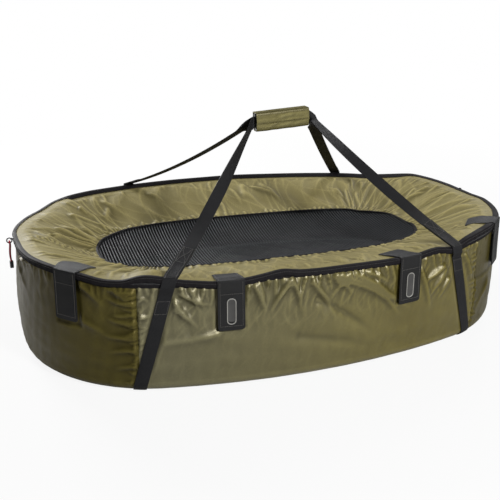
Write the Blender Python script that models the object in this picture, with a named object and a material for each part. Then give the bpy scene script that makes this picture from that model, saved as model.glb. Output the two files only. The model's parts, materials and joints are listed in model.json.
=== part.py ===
"""Walled unhooking mat with a zipped lid, a mesh window and two carry straps.

Blender 4.5, metres, +Z up. X runs along the mat and Y from the front to the back.
The origin is on the ground under the middle of the mat.
"""

import math

import bmesh
import bpy
from mathutils import Matrix, Vector

for old in list(bpy.data.objects):
    bpy.data.objects.remove(old)

# Overall size and plan outline
LENGTH = 1.300
WIDTH = 0.853
RIM_HEIGHT = 0.266
END_ARC_share = 3.0
SIDE_ARC_share = 2.45
CORNER_ARC_share = 0.82

# Sheet and padding thicknesses
CLOTH = 0.0015
TAPE = 0.0015
WEBBING = 0.0020
WALL_FOAM = 0.030
FLOOR_FOAM = 0.040
MESH_SHEET = 0.0025
GAP = 0.0003

# Tub
BASE_EDGE_RADIUS = 0.025
BAND_DROP = 0.018
SEAM_PLACE_share = 0.67

# Zip
COIL = 0.0025
FLAP_TOP = 0.020
FLAP_LIP = 0.012
SLIDER_PLACE = 0.020
SLIDER_LENGTH = 0.012
SLIDER_WALL = 0.0018
PULL_RING_RADIUS = 0.0062
PULL_RING_TILT = math.radians(35)
PULL_RING_WIRE = 0.0011
CORD_RADIUS = 0.0015
CORD_LOOP = 0.046
CORD_SPREAD = 0.0042
CORD_END_LENGTH = 0.019
CORD_END_WIDTH = 0.0095
CORD_END_DEPTH = 0.0060

# Lid
LID_TAPE_WIDTH = 0.026
LID_MARGIN = 0.006
WINDOW_LENGTH = 0.917
WINDOW_WIDTH = 0.385
WINDOW_SHIFT = 0.030
WINDOW_POWER_share = 2.3
LID_SAG = 0.058
WINDOW_SAG = 0.022
FOLD_DEPTH = 0.0045
FOLD_COUNT_share = 15
BINDING_WIDTH = 0.007
BINDING = 0.0012

# Hook-and-loop tabs
TAB_WIDTH = 0.056
TAB_HANG = 0.115
TAB_REACH = 0.052
TAB_POINT = 0.020
HOOK_PAD = 0.0025
PAD_MARGIN = 0.006
PAD_LENGTH = 0.074
BADGE_WIDTH = 0.021
BADGE_LENGTH = 0.062
BADGE = 0.0012
TAB_PLACE_shares = {
    "left_corner": -0.872,
    "front_left": -0.362,
    "front_right": 0.322,
    "right_end": 0.822,
}
BADGED_TABS = ("front_left", "front_right")

# Carry straps
WEBBING_WIDTH = 0.030
STRAP_SPACING_TOP = 0.738
STRAP_SPACING_BASE = 0.862
STRAP_SPACING_BACK = 0.815
STRAP_SHIFT_FRONT = -0.009
STRAP_SHIFT_BACK = 0.0635
STRAP_STITCH_share = 0.8609
LEG_BOW_shares = {
    "front_left": (-0.045, -0.025),
    "front_right": (-0.035, -0.03),
    "back_left": (-0.045, -0.045),
    "back_right": (-0.015, -0.02),
}

# Grip
GRIP_LENGTH = 0.147
GRIP_HEIGHT = 0.047
GRIP_DEPTH = 0.027
GRIP_PLACE = Vector((0.0520, 0.0, 0.5225))
GRIP_TILT = math.radians(2.6)
GRIP_CORNER = 0.0070
GRIP_LIP_share = 0.46
GRIP_FLAP_share = 0.60
RUN_OVERHANG = 0.003

# Levels and offsets that follow
HALF_LENGTH = LENGTH / 2
HALF_WIDTH = WIDTH / 2
BASE_Z = WEBBING + GAP
COVER_INSET = TAPE + GAP
FOAM_INSET = COVER_INSET + CLOTH + GAP
LINER_INSET = FOAM_INSET + WALL_FOAM + GAP
BAND_INSET = LINER_INSET + CLOTH + GAP
COVER_TOP = RIM_HEIGHT - TAPE - GAP
PAD_Z = BASE_Z + CLOTH + GAP
LINER_Z = PAD_Z + FLOOR_FOAM + GAP
LID_TAPE_Z = RIM_HEIGHT + GAP
LID_Z = LID_TAPE_Z + TAPE + GAP
FLAP_Z = LID_Z + CLOTH + GAP
TAB_ROOT_Z = FLAP_Z + TAPE + GAP
LID_SLOPE_INSET = BAND_INSET + TAPE + CLOTH
COIL_OUT = GAP + COIL
FLAP_LIP_IN = COIL_OUT + GAP
FLAP_LIP_OUT = FLAP_LIP_IN + TAPE
TAB_IN = FLAP_LIP_OUT + GAP
TAB_OUT = TAB_IN + WEBBING
HINGE_Y = HALF_WIDTH + COIL_OUT
HINGE_Z = RIM_HEIGHT + GAP / 2
STRAP_STITCH_HEIGHT = RIM_HEIGHT * STRAP_STITCH_share


def colour(name, rgb, roughness, metallic=0.0):
    """Return a plain material of one finish."""
    material = bpy.data.materials.new(name)
    material.use_nodes = True
    shader = material.node_tree.nodes["Principled BSDF"]
    shader.inputs["Base Color"].default_value = (*rgb, 1.0)
    shader.inputs["Roughness"].default_value = roughness
    shader.inputs["Metallic"].default_value = metallic
    return material


OLIVE = colour("olive_nylon", (0.20, 0.18, 0.085), 0.45)
KHAKI = colour("khaki_nylon", (0.36, 0.32, 0.18), 0.5)
BLACK_WEB = colour("black_webbing", (0.030, 0.030, 0.034), 0.75)
BLACK_MESH = colour("black_mesh", (0.045, 0.048, 0.055), 0.8)
BLACK_TAPE = colour("black_tape", (0.045, 0.045, 0.050), 0.7)
FOAM = colour("grey_foam", (0.30, 0.30, 0.30), 0.95)
LINER = colour("dark_liner", (0.10, 0.105, 0.085), 0.5)
PLASTIC = colour("black_plastic", (0.02, 0.02, 0.022), 0.4)
METAL = colour("black_metal", (0.04, 0.04, 0.045), 0.35, 0.9)
RED_CORD = colour("red_cord", (0.45, 0.03, 0.06), 0.7)
BADGE_GREY = colour("badge_rubber", (0.10, 0.10, 0.10), 0.6)


def add_piece(name, mesh, material, pivot=None, smooth=True):
    """Make an object from a bmesh in world places, under a joint's empty if it has one."""
    bmesh.ops.recalc_face_normals(mesh, faces=mesh.faces)
    data = bpy.data.meshes.new(name)
    if pivot:
        bmesh.ops.translate(mesh, vec=-pivot.location, verts=mesh.verts)
    mesh.to_mesh(data)
    mesh.free()
    piece = bpy.data.objects.new(name, data)
    bpy.context.scene.collection.objects.link(piece)
    data.materials.append(material)
    if smooth:
        data.shade_smooth()
        data.set_sharp_from_angle(angle=math.radians(40))
    if pivot:
        piece.parent = pivot
    return piece


def add_pivot(name, place):
    """Add the empty that stands on a joint's axis."""
    pivot = bpy.data.objects.new(name, None)
    pivot.location = place
    bpy.context.scene.collection.objects.link(pivot)
    return pivot


def slab(outer, inner, closed_rows=False, closed_columns=False):
    """Return a closed solid between two grids of points of the same size."""
    mesh = bmesh.new()
    skins = [[[mesh.verts.new(p) for p in row] for row in grid] for grid in (outer, inner)]
    rows, columns = len(outer), len(outer[0])
    row_steps = rows if closed_rows else rows - 1
    column_steps = columns if closed_columns else columns - 1
    for skin in skins:
        for i in range(row_steps):
            for j in range(column_steps):
                a, b = skin[i], skin[(i + 1) % rows]
                k = (j + 1) % columns
                mesh.faces.new((a[j], a[k], b[k], b[j]))
    top, bottom = skins
    if not closed_columns:
        for j in (0, columns - 1):
            for i in range(row_steps):
                k = (i + 1) % rows
                mesh.faces.new((top[i][j], top[k][j], bottom[k][j], bottom[i][j]))
    if not closed_rows:
        for i in (0, rows - 1):
            for j in range(column_steps):
                k = (j + 1) % columns
                mesh.faces.new((top[i][j], top[i][k], bottom[i][k], bottom[i][j]))
    return mesh


def prism(outline, offset):
    """Return the solid swept by a flat outline along an offset."""
    mesh = bmesh.new()
    near = [mesh.verts.new(p) for p in outline]
    far = [mesh.verts.new(Vector(p) + offset) for p in outline]
    mesh.faces.new(near)
    mesh.faces.new(list(reversed(far)))
    for a, b, c, d in zip(near, near[1:] + near[:1], far[1:] + far[:1], far):
        mesh.faces.new((a, b, c, d))
    return mesh


# Plan outline: four arcs to a quarter turn's symmetry, told by the angle of the outward normal
END_RADIUS = HALF_WIDTH * END_ARC_share
SIDE_RADIUS = HALF_LENGTH * SIDE_ARC_share
CORNER_RADIUS = HALF_WIDTH * CORNER_ARC_share
END_CENTRE = Vector((HALF_LENGTH - END_RADIUS, 0.0))
SIDE_CENTRE = Vector((0.0, HALF_WIDTH - SIDE_RADIUS))
END_STEPS = 6
CORNER_STEPS = 13
SIDE_STEPS = 10


def corner_centre():
    """Return the centre of the corner arc that meets the end arc and the side arc smoothly."""
    from_end = END_RADIUS - CORNER_RADIUS
    from_side = SIDE_RADIUS - CORNER_RADIUS
    line = END_CENTRE - SIDE_CENTRE
    apart = line.length
    along = (from_side**2 - from_end**2 + apart**2) / (2 * apart)
    across = math.sqrt(from_side**2 - along**2)
    line.normalize()
    square = Vector((-line.y, line.x))
    choices = [SIDE_CENTRE + line * along + square * side * across for side in (-1, 1)]
    return max(choices, key=lambda point: point.x + point.y)


CORNER_CENTRE = corner_centre()
TURN = 2 * math.pi
END_ANGLE = math.atan2(*(CORNER_CENTRE - END_CENTRE).yx)
SIDE_ANGLE = math.atan2(*(CORNER_CENTRE - SIDE_CENTRE).yx)
LEFT = math.pi


def mirrored(centre, x, y):
    """Return a centre mirrored across the plan's axes."""
    return Vector((centre.x * x, centre.y * y))


ARCS = [
    (-END_ANGLE, END_ANGLE, END_CENTRE, END_RADIUS, END_STEPS),
    (END_ANGLE, SIDE_ANGLE, CORNER_CENTRE, CORNER_RADIUS, CORNER_STEPS),
    (SIDE_ANGLE, LEFT - SIDE_ANGLE, SIDE_CENTRE, SIDE_RADIUS, SIDE_STEPS),
    (LEFT - SIDE_ANGLE, LEFT - END_ANGLE, mirrored(CORNER_CENTRE, -1, 1), CORNER_RADIUS, CORNER_STEPS),
    (LEFT - END_ANGLE, LEFT + END_ANGLE, mirrored(END_CENTRE, -1, 1), END_RADIUS, END_STEPS),
    (LEFT + END_ANGLE, LEFT + SIDE_ANGLE, mirrored(CORNER_CENTRE, -1, -1), CORNER_RADIUS, CORNER_STEPS),
    (LEFT + SIDE_ANGLE, TURN - SIDE_ANGLE, mirrored(SIDE_CENTRE, 1, -1), SIDE_RADIUS, SIDE_STEPS),
    (TURN - SIDE_ANGLE, TURN - END_ANGLE, mirrored(CORNER_CENTRE, 1, -1), CORNER_RADIUS, CORNER_STEPS),
]


def arc_at(angle):
    """Return the arc that a normal's angle falls on, and the angle within one turn."""
    angle = (angle + END_ANGLE) % TURN - END_ANGLE
    for arc in ARCS:
        if angle <= arc[1]:
            return arc, angle
    return ARCS[-1], angle


def rim_point(angle, inset=0.0, z=0.0):
    """Return the outline's point at a normal's angle, moved in from the rim."""
    (_, _, centre, radius, _), angle = arc_at(angle)
    reach = radius - inset
    return Vector((centre.x + reach * math.cos(angle), centre.y + reach * math.sin(angle), z))


def arc_length(angle):
    """Return the distance along the outline from its first arc to a normal's angle."""
    total = 0.0
    for first, last, _, radius, _ in ARCS:
        total += radius * min(max(angle - first, 0.0), last - first)
    return total


def walk(angle, distance):
    """Return the normal's angle after a walk along the outline, counter-clockwise if positive."""
    angle = (angle + END_ANGLE) % TURN - END_ANGLE
    left = (arc_length(angle) + distance) % arc_length(TURN)
    for first, last, _, radius, _ in ARCS:
        length = radius * (last - first)
        if left <= length:
            return first + left / radius
        left -= length
    return TURN - END_ANGLE


def angle_at_x(x, back=False):
    """Return the normal's angle where the outline crosses a place along the mat."""
    low, high = (LEFT, TURN)
    for _ in range(50):
        middle = (low + high) / 2
        if rim_point(middle).x < x:
            low = middle
        else:
            high = middle
    return TURN - middle if back else middle


SEAM = angle_at_x(HALF_LENGTH * SEAM_PLACE_share)
SEAMS = (TURN - SEAM, SEAM - LEFT, 3 * LEFT - SEAM, SEAM)


def angles_between(first, last):
    """Return the outline's steps from one angle to another, with the seams and both ends."""
    steps = []
    for turn in (-TURN, 0.0, TURN):
        for start, end, _, _, count in ARCS:
            for i in range(count):
                steps.append(start + (end - start) * i / count + turn)
        steps += [seam + turn for seam in SEAMS]
    steps.sort()
    room = (last - first) / (len(steps) * len(steps))
    return [first] + [a for a in steps if first + room < a < last - room] + [last]


ALL_ROUND = angles_between(-END_ANGLE, TURN - END_ANGLE)[:-1]


def sweep(angles, profile, closed=False):
    """Return a solid that carries a profile of insets and heights along the outline."""
    mesh = bmesh.new()
    rings = [[mesh.verts.new(rim_point(a, inset, z)) for inset, z in profile] for a in angles]
    pairs = list(zip(rings, rings[1:]))
    if closed:
        pairs.append((rings[-1], rings[0]))
    count = len(profile)
    for a, b in pairs:
        for i in range(count):
            k = (i + 1) % count
            mesh.faces.new((a[i], a[k], b[k], b[i]))
    if not closed:
        mesh.faces.new(rings[0])
        mesh.faces.new(list(reversed(rings[-1])))
    return mesh


def plate(inset, z, thickness):
    """Return a flat plate that fills the outline."""
    outline = [rim_point(a, inset, z) for a in ALL_ROUND]
    return prism(outline, Vector((0, 0, thickness)))


EDGE_STEPS = 4


def edge_arc(inset, z, radius, turning_down):
    """Return the points of the rounded base edge, from the wall down or back up to it."""
    points = []
    for i in range(EDGE_STEPS + 1):
        turn = math.pi / 2 * i / EDGE_STEPS
        points.append((inset + BASE_EDGE_RADIUS - radius * math.cos(turn),
                       z + BASE_EDGE_RADIUS - radius * math.sin(turn)))
    return points if turning_down else points[::-1]


def shell_profile(thickness, top):
    """Return a wall's profile: down the outside, round the base edge and back up inside."""
    outside = edge_arc(COVER_INSET, BASE_Z, BASE_EDGE_RADIUS, True)
    inside = edge_arc(COVER_INSET, BASE_Z, BASE_EDGE_RADIUS - thickness, False)
    return [(COVER_INSET, top)] + outside + inside + [(COVER_INSET + thickness, top)]


def panel_spans():
    """Return the four wall panels by name, from seam to seam."""
    back_right, back_left, front_left, front_right = SEAMS
    slack = GAP / 2 / CORNER_RADIUS
    spans = {
        "right": (front_right - TURN, back_right),
        "back": (back_right, back_left),
        "left": (back_left, front_left),
        "front": (front_left, front_right),
    }
    return {k: angles_between(a + slack, b - slack) for k, (a, b) in spans.items()}


def build_tub():
    """Build the wall panels, wall foam, base, floor pad, liner, rim band and lower zip coil."""
    cover = shell_profile(CLOTH, COVER_TOP)
    for side, angles in panel_spans().items():
        add_piece(f"outer_cover_{side}", sweep(angles, cover), OLIVE)
        add_piece(f"wall_foam_{side}", sweep(angles, foam_profile()), FOAM)
    base_inset = COVER_INSET + BASE_EDGE_RADIUS + GAP
    add_piece("base_cloth", plate(base_inset, BASE_Z, CLOTH), OLIVE)
    add_piece("floor_pad", plate(LINER_INSET, PAD_Z, FLOOR_FOAM), FOAM)
    liner_wall = [
        (LINER_INSET, LINER_Z),
        (LINER_INSET, COVER_TOP),
        (LINER_INSET + CLOTH, COVER_TOP),
        (LINER_INSET + CLOTH, LINER_Z),
    ]
    add_piece("inner_liner_wall", sweep(ALL_ROUND, liner_wall, True), LINER)
    add_piece("inner_liner_floor", plate(BAND_INSET, LINER_Z, CLOTH), LINER)
    low = RIM_HEIGHT - BAND_DROP
    inner = BAND_INSET + TAPE
    band = [
        (0, low),
        (0, RIM_HEIGHT),
        (inner, RIM_HEIGHT),
        (inner, low),
        (BAND_INSET, low),
        (BAND_INSET, RIM_HEIGHT - TAPE),
        (TAPE, RIM_HEIGHT - TAPE),
        (TAPE, low),
    ]
    add_piece("rim_band", sweep(ALL_ROUND, band, True), BLACK_TAPE)
    add_piece("zip_coil_tub", sweep(ALL_ROUND, coil_profile(RIM_HEIGHT - COIL), True), PLASTIC)


def foam_profile():
    """Return the wall foam's profile, with its outer lower edge rounded."""
    radius = BASE_EDGE_RADIUS - CLOTH - GAP
    outside = edge_arc(COVER_INSET, BASE_Z, radius, True)
    back = FOAM_INSET + WALL_FOAM
    return [(FOAM_INSET, COVER_TOP)] + outside + [(back, PAD_Z), (back, COVER_TOP)]


def coil_profile(z):
    """Return a zip coil's profile."""
    return [(-GAP, z), (-GAP, z + COIL), (-COIL_OUT, z + COIL), (-COIL_OUT, z)]


def window_point(angle, z, grow=0.0):
    """Return a point of the mesh window's edge."""
    power = 2 / WINDOW_POWER_share
    c, s = math.cos(angle), math.sin(angle)
    x = math.copysign(abs(c) ** power, c) * (WINDOW_LENGTH / 2 + grow)
    y = math.copysign(abs(s) ** power, s) * (WINDOW_WIDTH / 2 + grow)
    return Vector((x + WINDOW_SHIFT, y, z))


WINDOW_Z = LID_Z - LID_SAG
SLOPE_shares = (0.0, 0.14, 0.34, 0.56, 0.78, 0.94, 1.0)


def lid_surface(angle, share):
    """Return a point of the lid's underside between the rim and the window."""
    place = rim_point(angle, LID_SLOPE_INSET).lerp(window_point(angle, 0), share)
    ease = share * share * (3 - 2 * share)
    fold = math.sin(FOLD_COUNT_share * angle) * math.sin(math.pi * share) ** 2
    place.z = LID_Z - LID_SAG * ease + FOLD_DEPTH * fold
    return place


def lid_rows(angle, lift):
    """Return one line of the lid from its margin to the window, raised by a lift."""
    flat = [rim_point(angle, LID_MARGIN, LID_Z)]
    line = flat + [lid_surface(angle, share) for share in SLOPE_shares]
    return [p + Vector((0, 0, lift)) for p in line]


def build_lid(pivot):
    """Build the lid's tape, coil, cloth halves, mesh window, binding and front zip flap."""
    tape = [
        (0, LID_TAPE_Z),
        (0, LID_TAPE_Z + TAPE),
        (LID_TAPE_WIDTH, LID_TAPE_Z + TAPE),
        (LID_TAPE_WIDTH, LID_TAPE_Z),
    ]
    add_piece("lid_zip_tape", sweep(ALL_ROUND, tape, True), BLACK_TAPE, pivot)
    add_piece("zip_coil_lid", sweep(ALL_ROUND, coil_profile(LID_TAPE_Z), True), PLASTIC, pivot)
    slack = GAP / END_RADIUS
    halves = {"back": (slack, LEFT - slack), "front": (LEFT + slack, TURN - slack)}
    for side, (first, last) in halves.items():
        angles = angles_between(first, last)
        top = [lid_rows(a, CLOTH) for a in angles]
        bottom = [lid_rows(a, 0.0) for a in angles]
        add_piece(f"lid_panel_{side}", slab(top, bottom), KHAKI, pivot)
    build_window(pivot)
    build_zip_flap(pivot)


MESH_HOLES_ALONG = 12
MESH_HOLES_ACROSS = 5
MESH_BAR_share = 0.25


def bar_lines(count):
    """Return where the mesh's bars begin and end, from -1 to 1, with openings between them."""
    pitch = 2 / (count + MESH_BAR_share)
    starts = [-1 + pitch * i for i in range(count + 1)]
    return [place for start in starts for place in (start, start + pitch * MESH_BAR_share)]


def mesh_place(u, v, level):
    """Return a point of the sagging mesh from its two places across it, -1 to 1."""
    x, y = u * math.sqrt(1 - v * v / 2), v * math.sqrt(1 - u * u / 2)
    reach = math.hypot(x, y)
    z = level - WINDOW_SAG * (1 - reach * reach)
    edge = window_point(math.atan2(y, x), z, BINDING_WIDTH)
    return Vector((WINDOW_SHIFT, 0, z)).lerp(edge, reach)


def open_mesh(level):
    """Return the window's mesh as a sagging sheet with a plain grid of openings."""
    along, across = bar_lines(MESH_HOLES_ALONG), bar_lines(MESH_HOLES_ACROSS)
    mesh = bmesh.new()
    skins = [
        [[mesh.verts.new(mesh_place(u, v, level - drop)) for u in along] for v in across]
        for drop in (0.0, MESH_SHEET)
    ]
    top, bottom = skins
    rows, columns = len(across) - 1, len(along) - 1
    walls = []
    for i in range(rows):
        for j in range(columns):
            ring = [(i, j), (i, j + 1), (i + 1, j + 1), (i + 1, j)]
            if i % 2 and j % 2:
                walls += zip(ring, ring[1:] + ring[:1])
                continue
            mesh.faces.new([top[a][b] for a, b in ring])
            mesh.faces.new([bottom[a][b] for a, b in reversed(ring)])
    for i in range(rows):
        walls += [((i + 1, 0), (i, 0)), ((i, columns), (i + 1, columns))]
    for j in range(columns):
        walls += [((0, j), (0, j + 1)), ((rows, j + 1), (rows, j))]
    for (a, b), (c, d) in walls:
        mesh.faces.new((top[a][b], bottom[a][b], bottom[c][d], top[c][d]))
    bmesh.ops.recalc_face_normals(mesh, faces=mesh.faces)
    return mesh


def build_window(pivot):
    """Build the sagging mesh, sewn under the lid cloth, and the binding round its edge."""
    add_piece("lid_mesh", open_mesh(WINDOW_Z - GAP), BLACK_MESH, pivot)
    edges = [[window_point(a, 0, grow) for a in ALL_ROUND] for grow in (-GAP, -BINDING_WIDTH)]
    skins = [[[p + Vector((0, 0, z)) for p in ring] for ring in edges] for z in (WINDOW_Z, WINDOW_Z + BINDING)]
    add_piece("mesh_binding", slab(*skins, closed_columns=True), BLACK_TAPE, pivot)


def build_zip_flap(pivot):
    """Build the cloth flap that covers the open front of the zip, slider to slider."""
    clear = SLIDER_LENGTH / END_RADIUS
    angles = angles_between(LEFT + clear, TURN - clear)
    flap = [
        (-FLAP_LIP_OUT, FLAP_Z + TAPE),
        (FLAP_TOP, FLAP_Z + TAPE),
        (FLAP_TOP, FLAP_Z),
        (-FLAP_LIP_IN, FLAP_Z),
        (-FLAP_LIP_IN, FLAP_Z + TAPE - FLAP_LIP),
        (-FLAP_LIP_OUT, FLAP_Z + TAPE - FLAP_LIP),
    ]
    add_piece("zip_flap", sweep(angles, flap), BLACK_TAPE, pivot)


def local_frame(angle, out=0.0, z=0.0):
    """Return a frame on the rim whose X runs along it, Y points out and Z up."""
    place = rim_point(angle, -out, z)
    along = Vector((math.sin(angle), -math.cos(angle), 0))
    outward = Vector((math.cos(angle), math.sin(angle), 0))
    frame = Matrix.Translation(place)
    for axis, vector in enumerate((along, outward, Vector((0, 0, 1)))):
        frame.col[axis].xyz = vector
    return frame


def box_outline(low, high, corner, steps=3):
    """Return a rectangle's points in a plane, with its two lower corners rounded."""
    points = [Vector((low[0], high[1]))]
    for side, turn in ((1, LEFT), (-1, 1.5 * LEFT)):
        x = low[0] + corner if side > 0 else high[0] - corner
        for i in range(steps + 1):
            a = turn + math.pi / 2 * i / steps
            points.append(Vector((x + corner * math.cos(a), low[1] + corner + corner * math.sin(a))))
    points.append(Vector((high[0], high[1])))
    return points


def upright(frame, outline, near, far):
    """Return the solid of an outline in the frame's X and Z, between two depths along its Y."""
    points = [frame @ Vector((p.x, near, p.y)) for p in outline]
    return prism(points, frame.to_3x3() @ Vector((0, far - near, 0)))


def flat(frame, outline, low, high):
    """Return the solid of an outline in the frame's X and Y, between two heights."""
    points = [frame @ Vector((p[0], p[1], low)) for p in outline]
    return prism(points, frame.to_3x3() @ Vector((0, 0, high - low)))


TAB_TOP = TAB_ROOT_Z - GAP
TAB_FOOT = TAB_TOP - TAB_HANG
PAD_OUT = TAB_IN - GAP
PAD_IN = PAD_OUT - HOOK_PAD
PATCH_IN = GAP - COVER_INSET
PATCH_OUT = PAD_IN - GAP


def build_tab(name, place, lid_pivot):
    """Build one hook-and-loop tab: its sewn root on the lid, its hanging flap, hook pad and badge."""
    angle = angle_at_x(place * HALF_LENGTH)
    frame = local_frame(angle)
    half = TAB_WIDTH / 2
    shoulder = TAB_POINT - TAB_REACH
    root = [(-half, TAB_OUT), (half, TAB_OUT), (half, shoulder), (0, -TAB_REACH), (-half, shoulder)]
    add_piece(f"tab_root_{name}", flat(frame, root, TAB_ROOT_Z, TAB_ROOT_Z + WEBBING), BLACK_WEB, lid_pivot)
    hinge = frame @ Vector((0, TAB_OUT, TAB_ROOT_Z - GAP / 2))
    pivot = add_pivot(f"tab_{name}_hinge", hinge)
    sheet = box_outline((-half, TAB_FOOT), (half, TAB_TOP), PAD_MARGIN)
    add_piece(f"tab_flap_{name}", upright(frame, sheet, TAB_IN, TAB_OUT), BLACK_WEB, pivot)
    inner = half - PAD_MARGIN
    low = TAB_FOOT + PAD_MARGIN
    pad = box_outline((-inner, low), (inner, low + PAD_LENGTH), PAD_MARGIN)
    add_piece(f"tab_hook_{name}", upright(frame, pad, PAD_IN, PAD_OUT), BLACK_WEB, pivot)
    add_piece(f"loop_patch_{name}", upright(frame, pad, PATCH_IN, PATCH_OUT), BLACK_WEB)
    if name in BADGED_TABS:
        foot = low + PAD_MARGIN
        badge = box_outline(
            (-BADGE_WIDTH / 2, foot), (BADGE_WIDTH / 2, foot + BADGE_LENGTH), BADGE_WIDTH / 2 - GAP, 5
        )
        face = TAB_OUT + GAP
        add_piece(f"tab_badge_{name}", upright(frame, badge, face, face + BADGE), BADGE_GREY, pivot)


def build_tabs(lid_pivot):
    """Build the four tabs and the loop patches that they close on."""
    for name, place in TAB_PLACE_shares.items():
        build_tab(name, place, lid_pivot)


ACROSS_shares = (-0.5, -0.25, 0.0, 0.25, 0.5)
WALL_RUN_shares = (1.0, 0.75, 0.5, 0.25)
STRAP_IN = COVER_INSET - GAP


STRAP_LEAN = (STRAP_SPACING_BASE - STRAP_SPACING_TOP) / 2 / STRAP_STITCH_HEIGHT


def strap_row(side, back, inset, z, shares=ACROSS_shares):
    """Return the points across a slanting strap at one height, held off the wall by an inset."""
    spacing, shift = (STRAP_SPACING_BACK, STRAP_SHIFT_BACK) if back else (STRAP_SPACING_BASE, STRAP_SHIFT_FRONT)
    middle = angle_at_x(side * (spacing / 2 - STRAP_LEAN * z) + shift, back)
    width = WEBBING_WIDTH * math.hypot(1, STRAP_LEAN)
    return [rim_point(walk(middle, width * share), inset, z) for share in shares]


def strap_skin(side, back, depth):
    """Return the rows of one face of a strap's wall run, from the stitches to under the base."""
    straight = STRAP_STITCH_HEIGHT - BASE_Z - BASE_EDGE_RADIUS
    rows = []
    for share in WALL_RUN_shares:
        z = BASE_Z + BASE_EDGE_RADIUS + straight * share
        rows.append(strap_row(side, back, STRAP_IN - depth, z))
    radius = BASE_EDGE_RADIUS + GAP + depth
    for inset, z in edge_arc(COVER_INSET, BASE_Z, radius, True):
        rows.append(strap_row(side, back, inset, z))
    return rows


def build_straps_on_tub():
    """Build the webbing sewn down the walls and run under the base."""
    for side, side_name in ((-1, "left"), (1, "right")):
        ends = []
        for back, wall_name in ((False, "front"), (True, "back")):
            skins = [strap_skin(side, back, depth) for depth in (WEBBING, 0.0)]
            add_piece(f"strap_wall_{wall_name}_{side_name}", slab(*skins), BLACK_WEB)
            inset = COVER_INSET + BASE_EDGE_RADIUS + GAP
            ends.append(strap_row(side, back, inset, 0.0))
        ends[1].reverse()
        low = ends
        high = [[p + Vector((0, 0, WEBBING)) for p in row] for row in ends]
        add_piece(f"strap_base_{side_name}", slab(low, high), BLACK_WEB)


GRIP_FRAME = Matrix.Translation(GRIP_PLACE) @ Matrix.Rotation(-GRIP_TILT, 4, "Y")
RUN_HALF = GRIP_LENGTH / 2 + RUN_OVERHANG
LEG_STEPS = 12
LEG_ACROSS_shares = (-0.5, 0.0, 0.5)


def bezier(points, t):
    """Return a cubic curve's point."""
    a, b, c, d = points
    s = 1 - t
    return a * s**3 + b * (3 * s * s * t) + c * (3 * s * t * t) + d * t**3


def thicken(grid, thickness):
    """Return the two faces of a sheet from the points of its middle surface."""
    faces = ([], [])
    rows, columns = len(grid), len(grid[0])
    for i, row in enumerate(grid):
        before, after = grid[max(i - 1, 0)], grid[min(i + 1, rows - 1)]
        lines = ([], [])
        for j, place in enumerate(row):
            across = row[min(j + 1, columns - 1)] - row[max(j - 1, 0)]
            along = after[j] - before[j]
            normal = along.cross(across).normalized() * thickness / 2
            lines[0].append(place + normal)
            lines[1].append(place - normal)
        for face, line in zip(faces, lines):
            face.append(line)
    return faces


def leg_grid(side, back, bows):
    """Return the middle surface of a strap's free leg, from its stitches up to the grip."""
    way = 1 if back else -1
    held = STRAP_IN - WEBBING / 2
    clear = -TAB_IN - WEBBING / 2
    foot = STRAP_STITCH_HEIGHT + GAP
    low = FLAP_Z + TAPE - FLAP_LIP - WEBBING
    high = TAB_ROOT_Z + WEBBING
    steps = ((held, foot), (held, foot + WEBBING), (clear, low), (clear, high))
    grid = [strap_row(side, back, inset, z, LEG_ACROSS_shares) for inset, z in steps]
    across = grid[-1][-1] - grid[-1][0]
    start = grid[-1][1]
    turn = GRIP_FRAME.to_3x3()
    end = GRIP_FRAME @ Vector((side * (RUN_HALF + GAP), way * (GAP + WEBBING) / 2, 0))
    lead = end + turn @ Vector((side * RUN_OVERHANG, 0, 0))
    upward = turn @ Vector((0, 0, WEBBING_WIDTH))
    if across.cross(lead - start).dot(turn @ Vector((0, way, 0))) * side * way > 0:
        across.negate()
        grid = [row[::-1] for row in grid]
    span = lead - start
    lifts = [Vector((0, 0, span.length * bow)) for bow in bows]
    curve = (start, start + span / 3 + lifts[0], start + span * 2 / 3 + lifts[1], lead)
    for i in range(1, LEG_STEPS + 1):
        t = i / LEG_STEPS
        place = bezier(curve, t)
        tangent = (bezier(curve, min(t + 0.01, 1.0)) - bezier(curve, t - 0.01)).normalized()
        blend = t * t * (3 - 2 * t)
        width = across * (1 - blend) + upward * blend
        square = min(1.0, (1 - t) * LEG_STEPS / 3)
        width = (width - tangent * width.dot(tangent) * square).normalized() * WEBBING_WIDTH
        grid.append([place + width * share for share in LEG_ACROSS_shares])
    grid.append([end + upward * share for share in LEG_ACROSS_shares])
    return grid


def build_strap(wall_name, back, pivot):
    """Build one carry strap's two free legs and its run through the grip."""
    for side, side_name in ((-1, "left"), (1, "right")):
        grid = leg_grid(side, back, LEG_BOW_shares[f"{wall_name}_{side_name}"])
        leg = slab(*thicken(grid, WEBBING))
        add_piece(f"strap_leg_{wall_name}_{side_name}", leg, BLACK_WEB, pivot)
    near = GAP / 2 if back else -GAP / 2 - WEBBING
    half = WEBBING_WIDTH / 2
    outline = [Vector(p) for p in ((-RUN_HALF, -half), (RUN_HALF, -half), (RUN_HALF, half), (-RUN_HALF, half))]
    run = upright(GRIP_FRAME, outline, near, near + WEBBING)
    add_piece(f"strap_run_{wall_name}", run, BLACK_WEB, pivot)


def along_grip(outline):
    """Return the solid of an outline across the grip, as long as the grip."""
    points = [GRIP_FRAME @ Vector((-GRIP_LENGTH / 2, y, z)) for y, z in outline]
    return prism(points, GRIP_FRAME.to_3x3() @ Vector((GRIP_LENGTH, 0, 0)))


def trough(depth, corner, floor, front_top, back_top):
    """Return the outer line of the grip's trough, down its front and up its back."""
    line = box_outline((-depth, floor), (depth, back_top), corner, 3)
    points = [tuple(p) for p in line]
    points[0] = (-depth, front_top)
    return points


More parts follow.
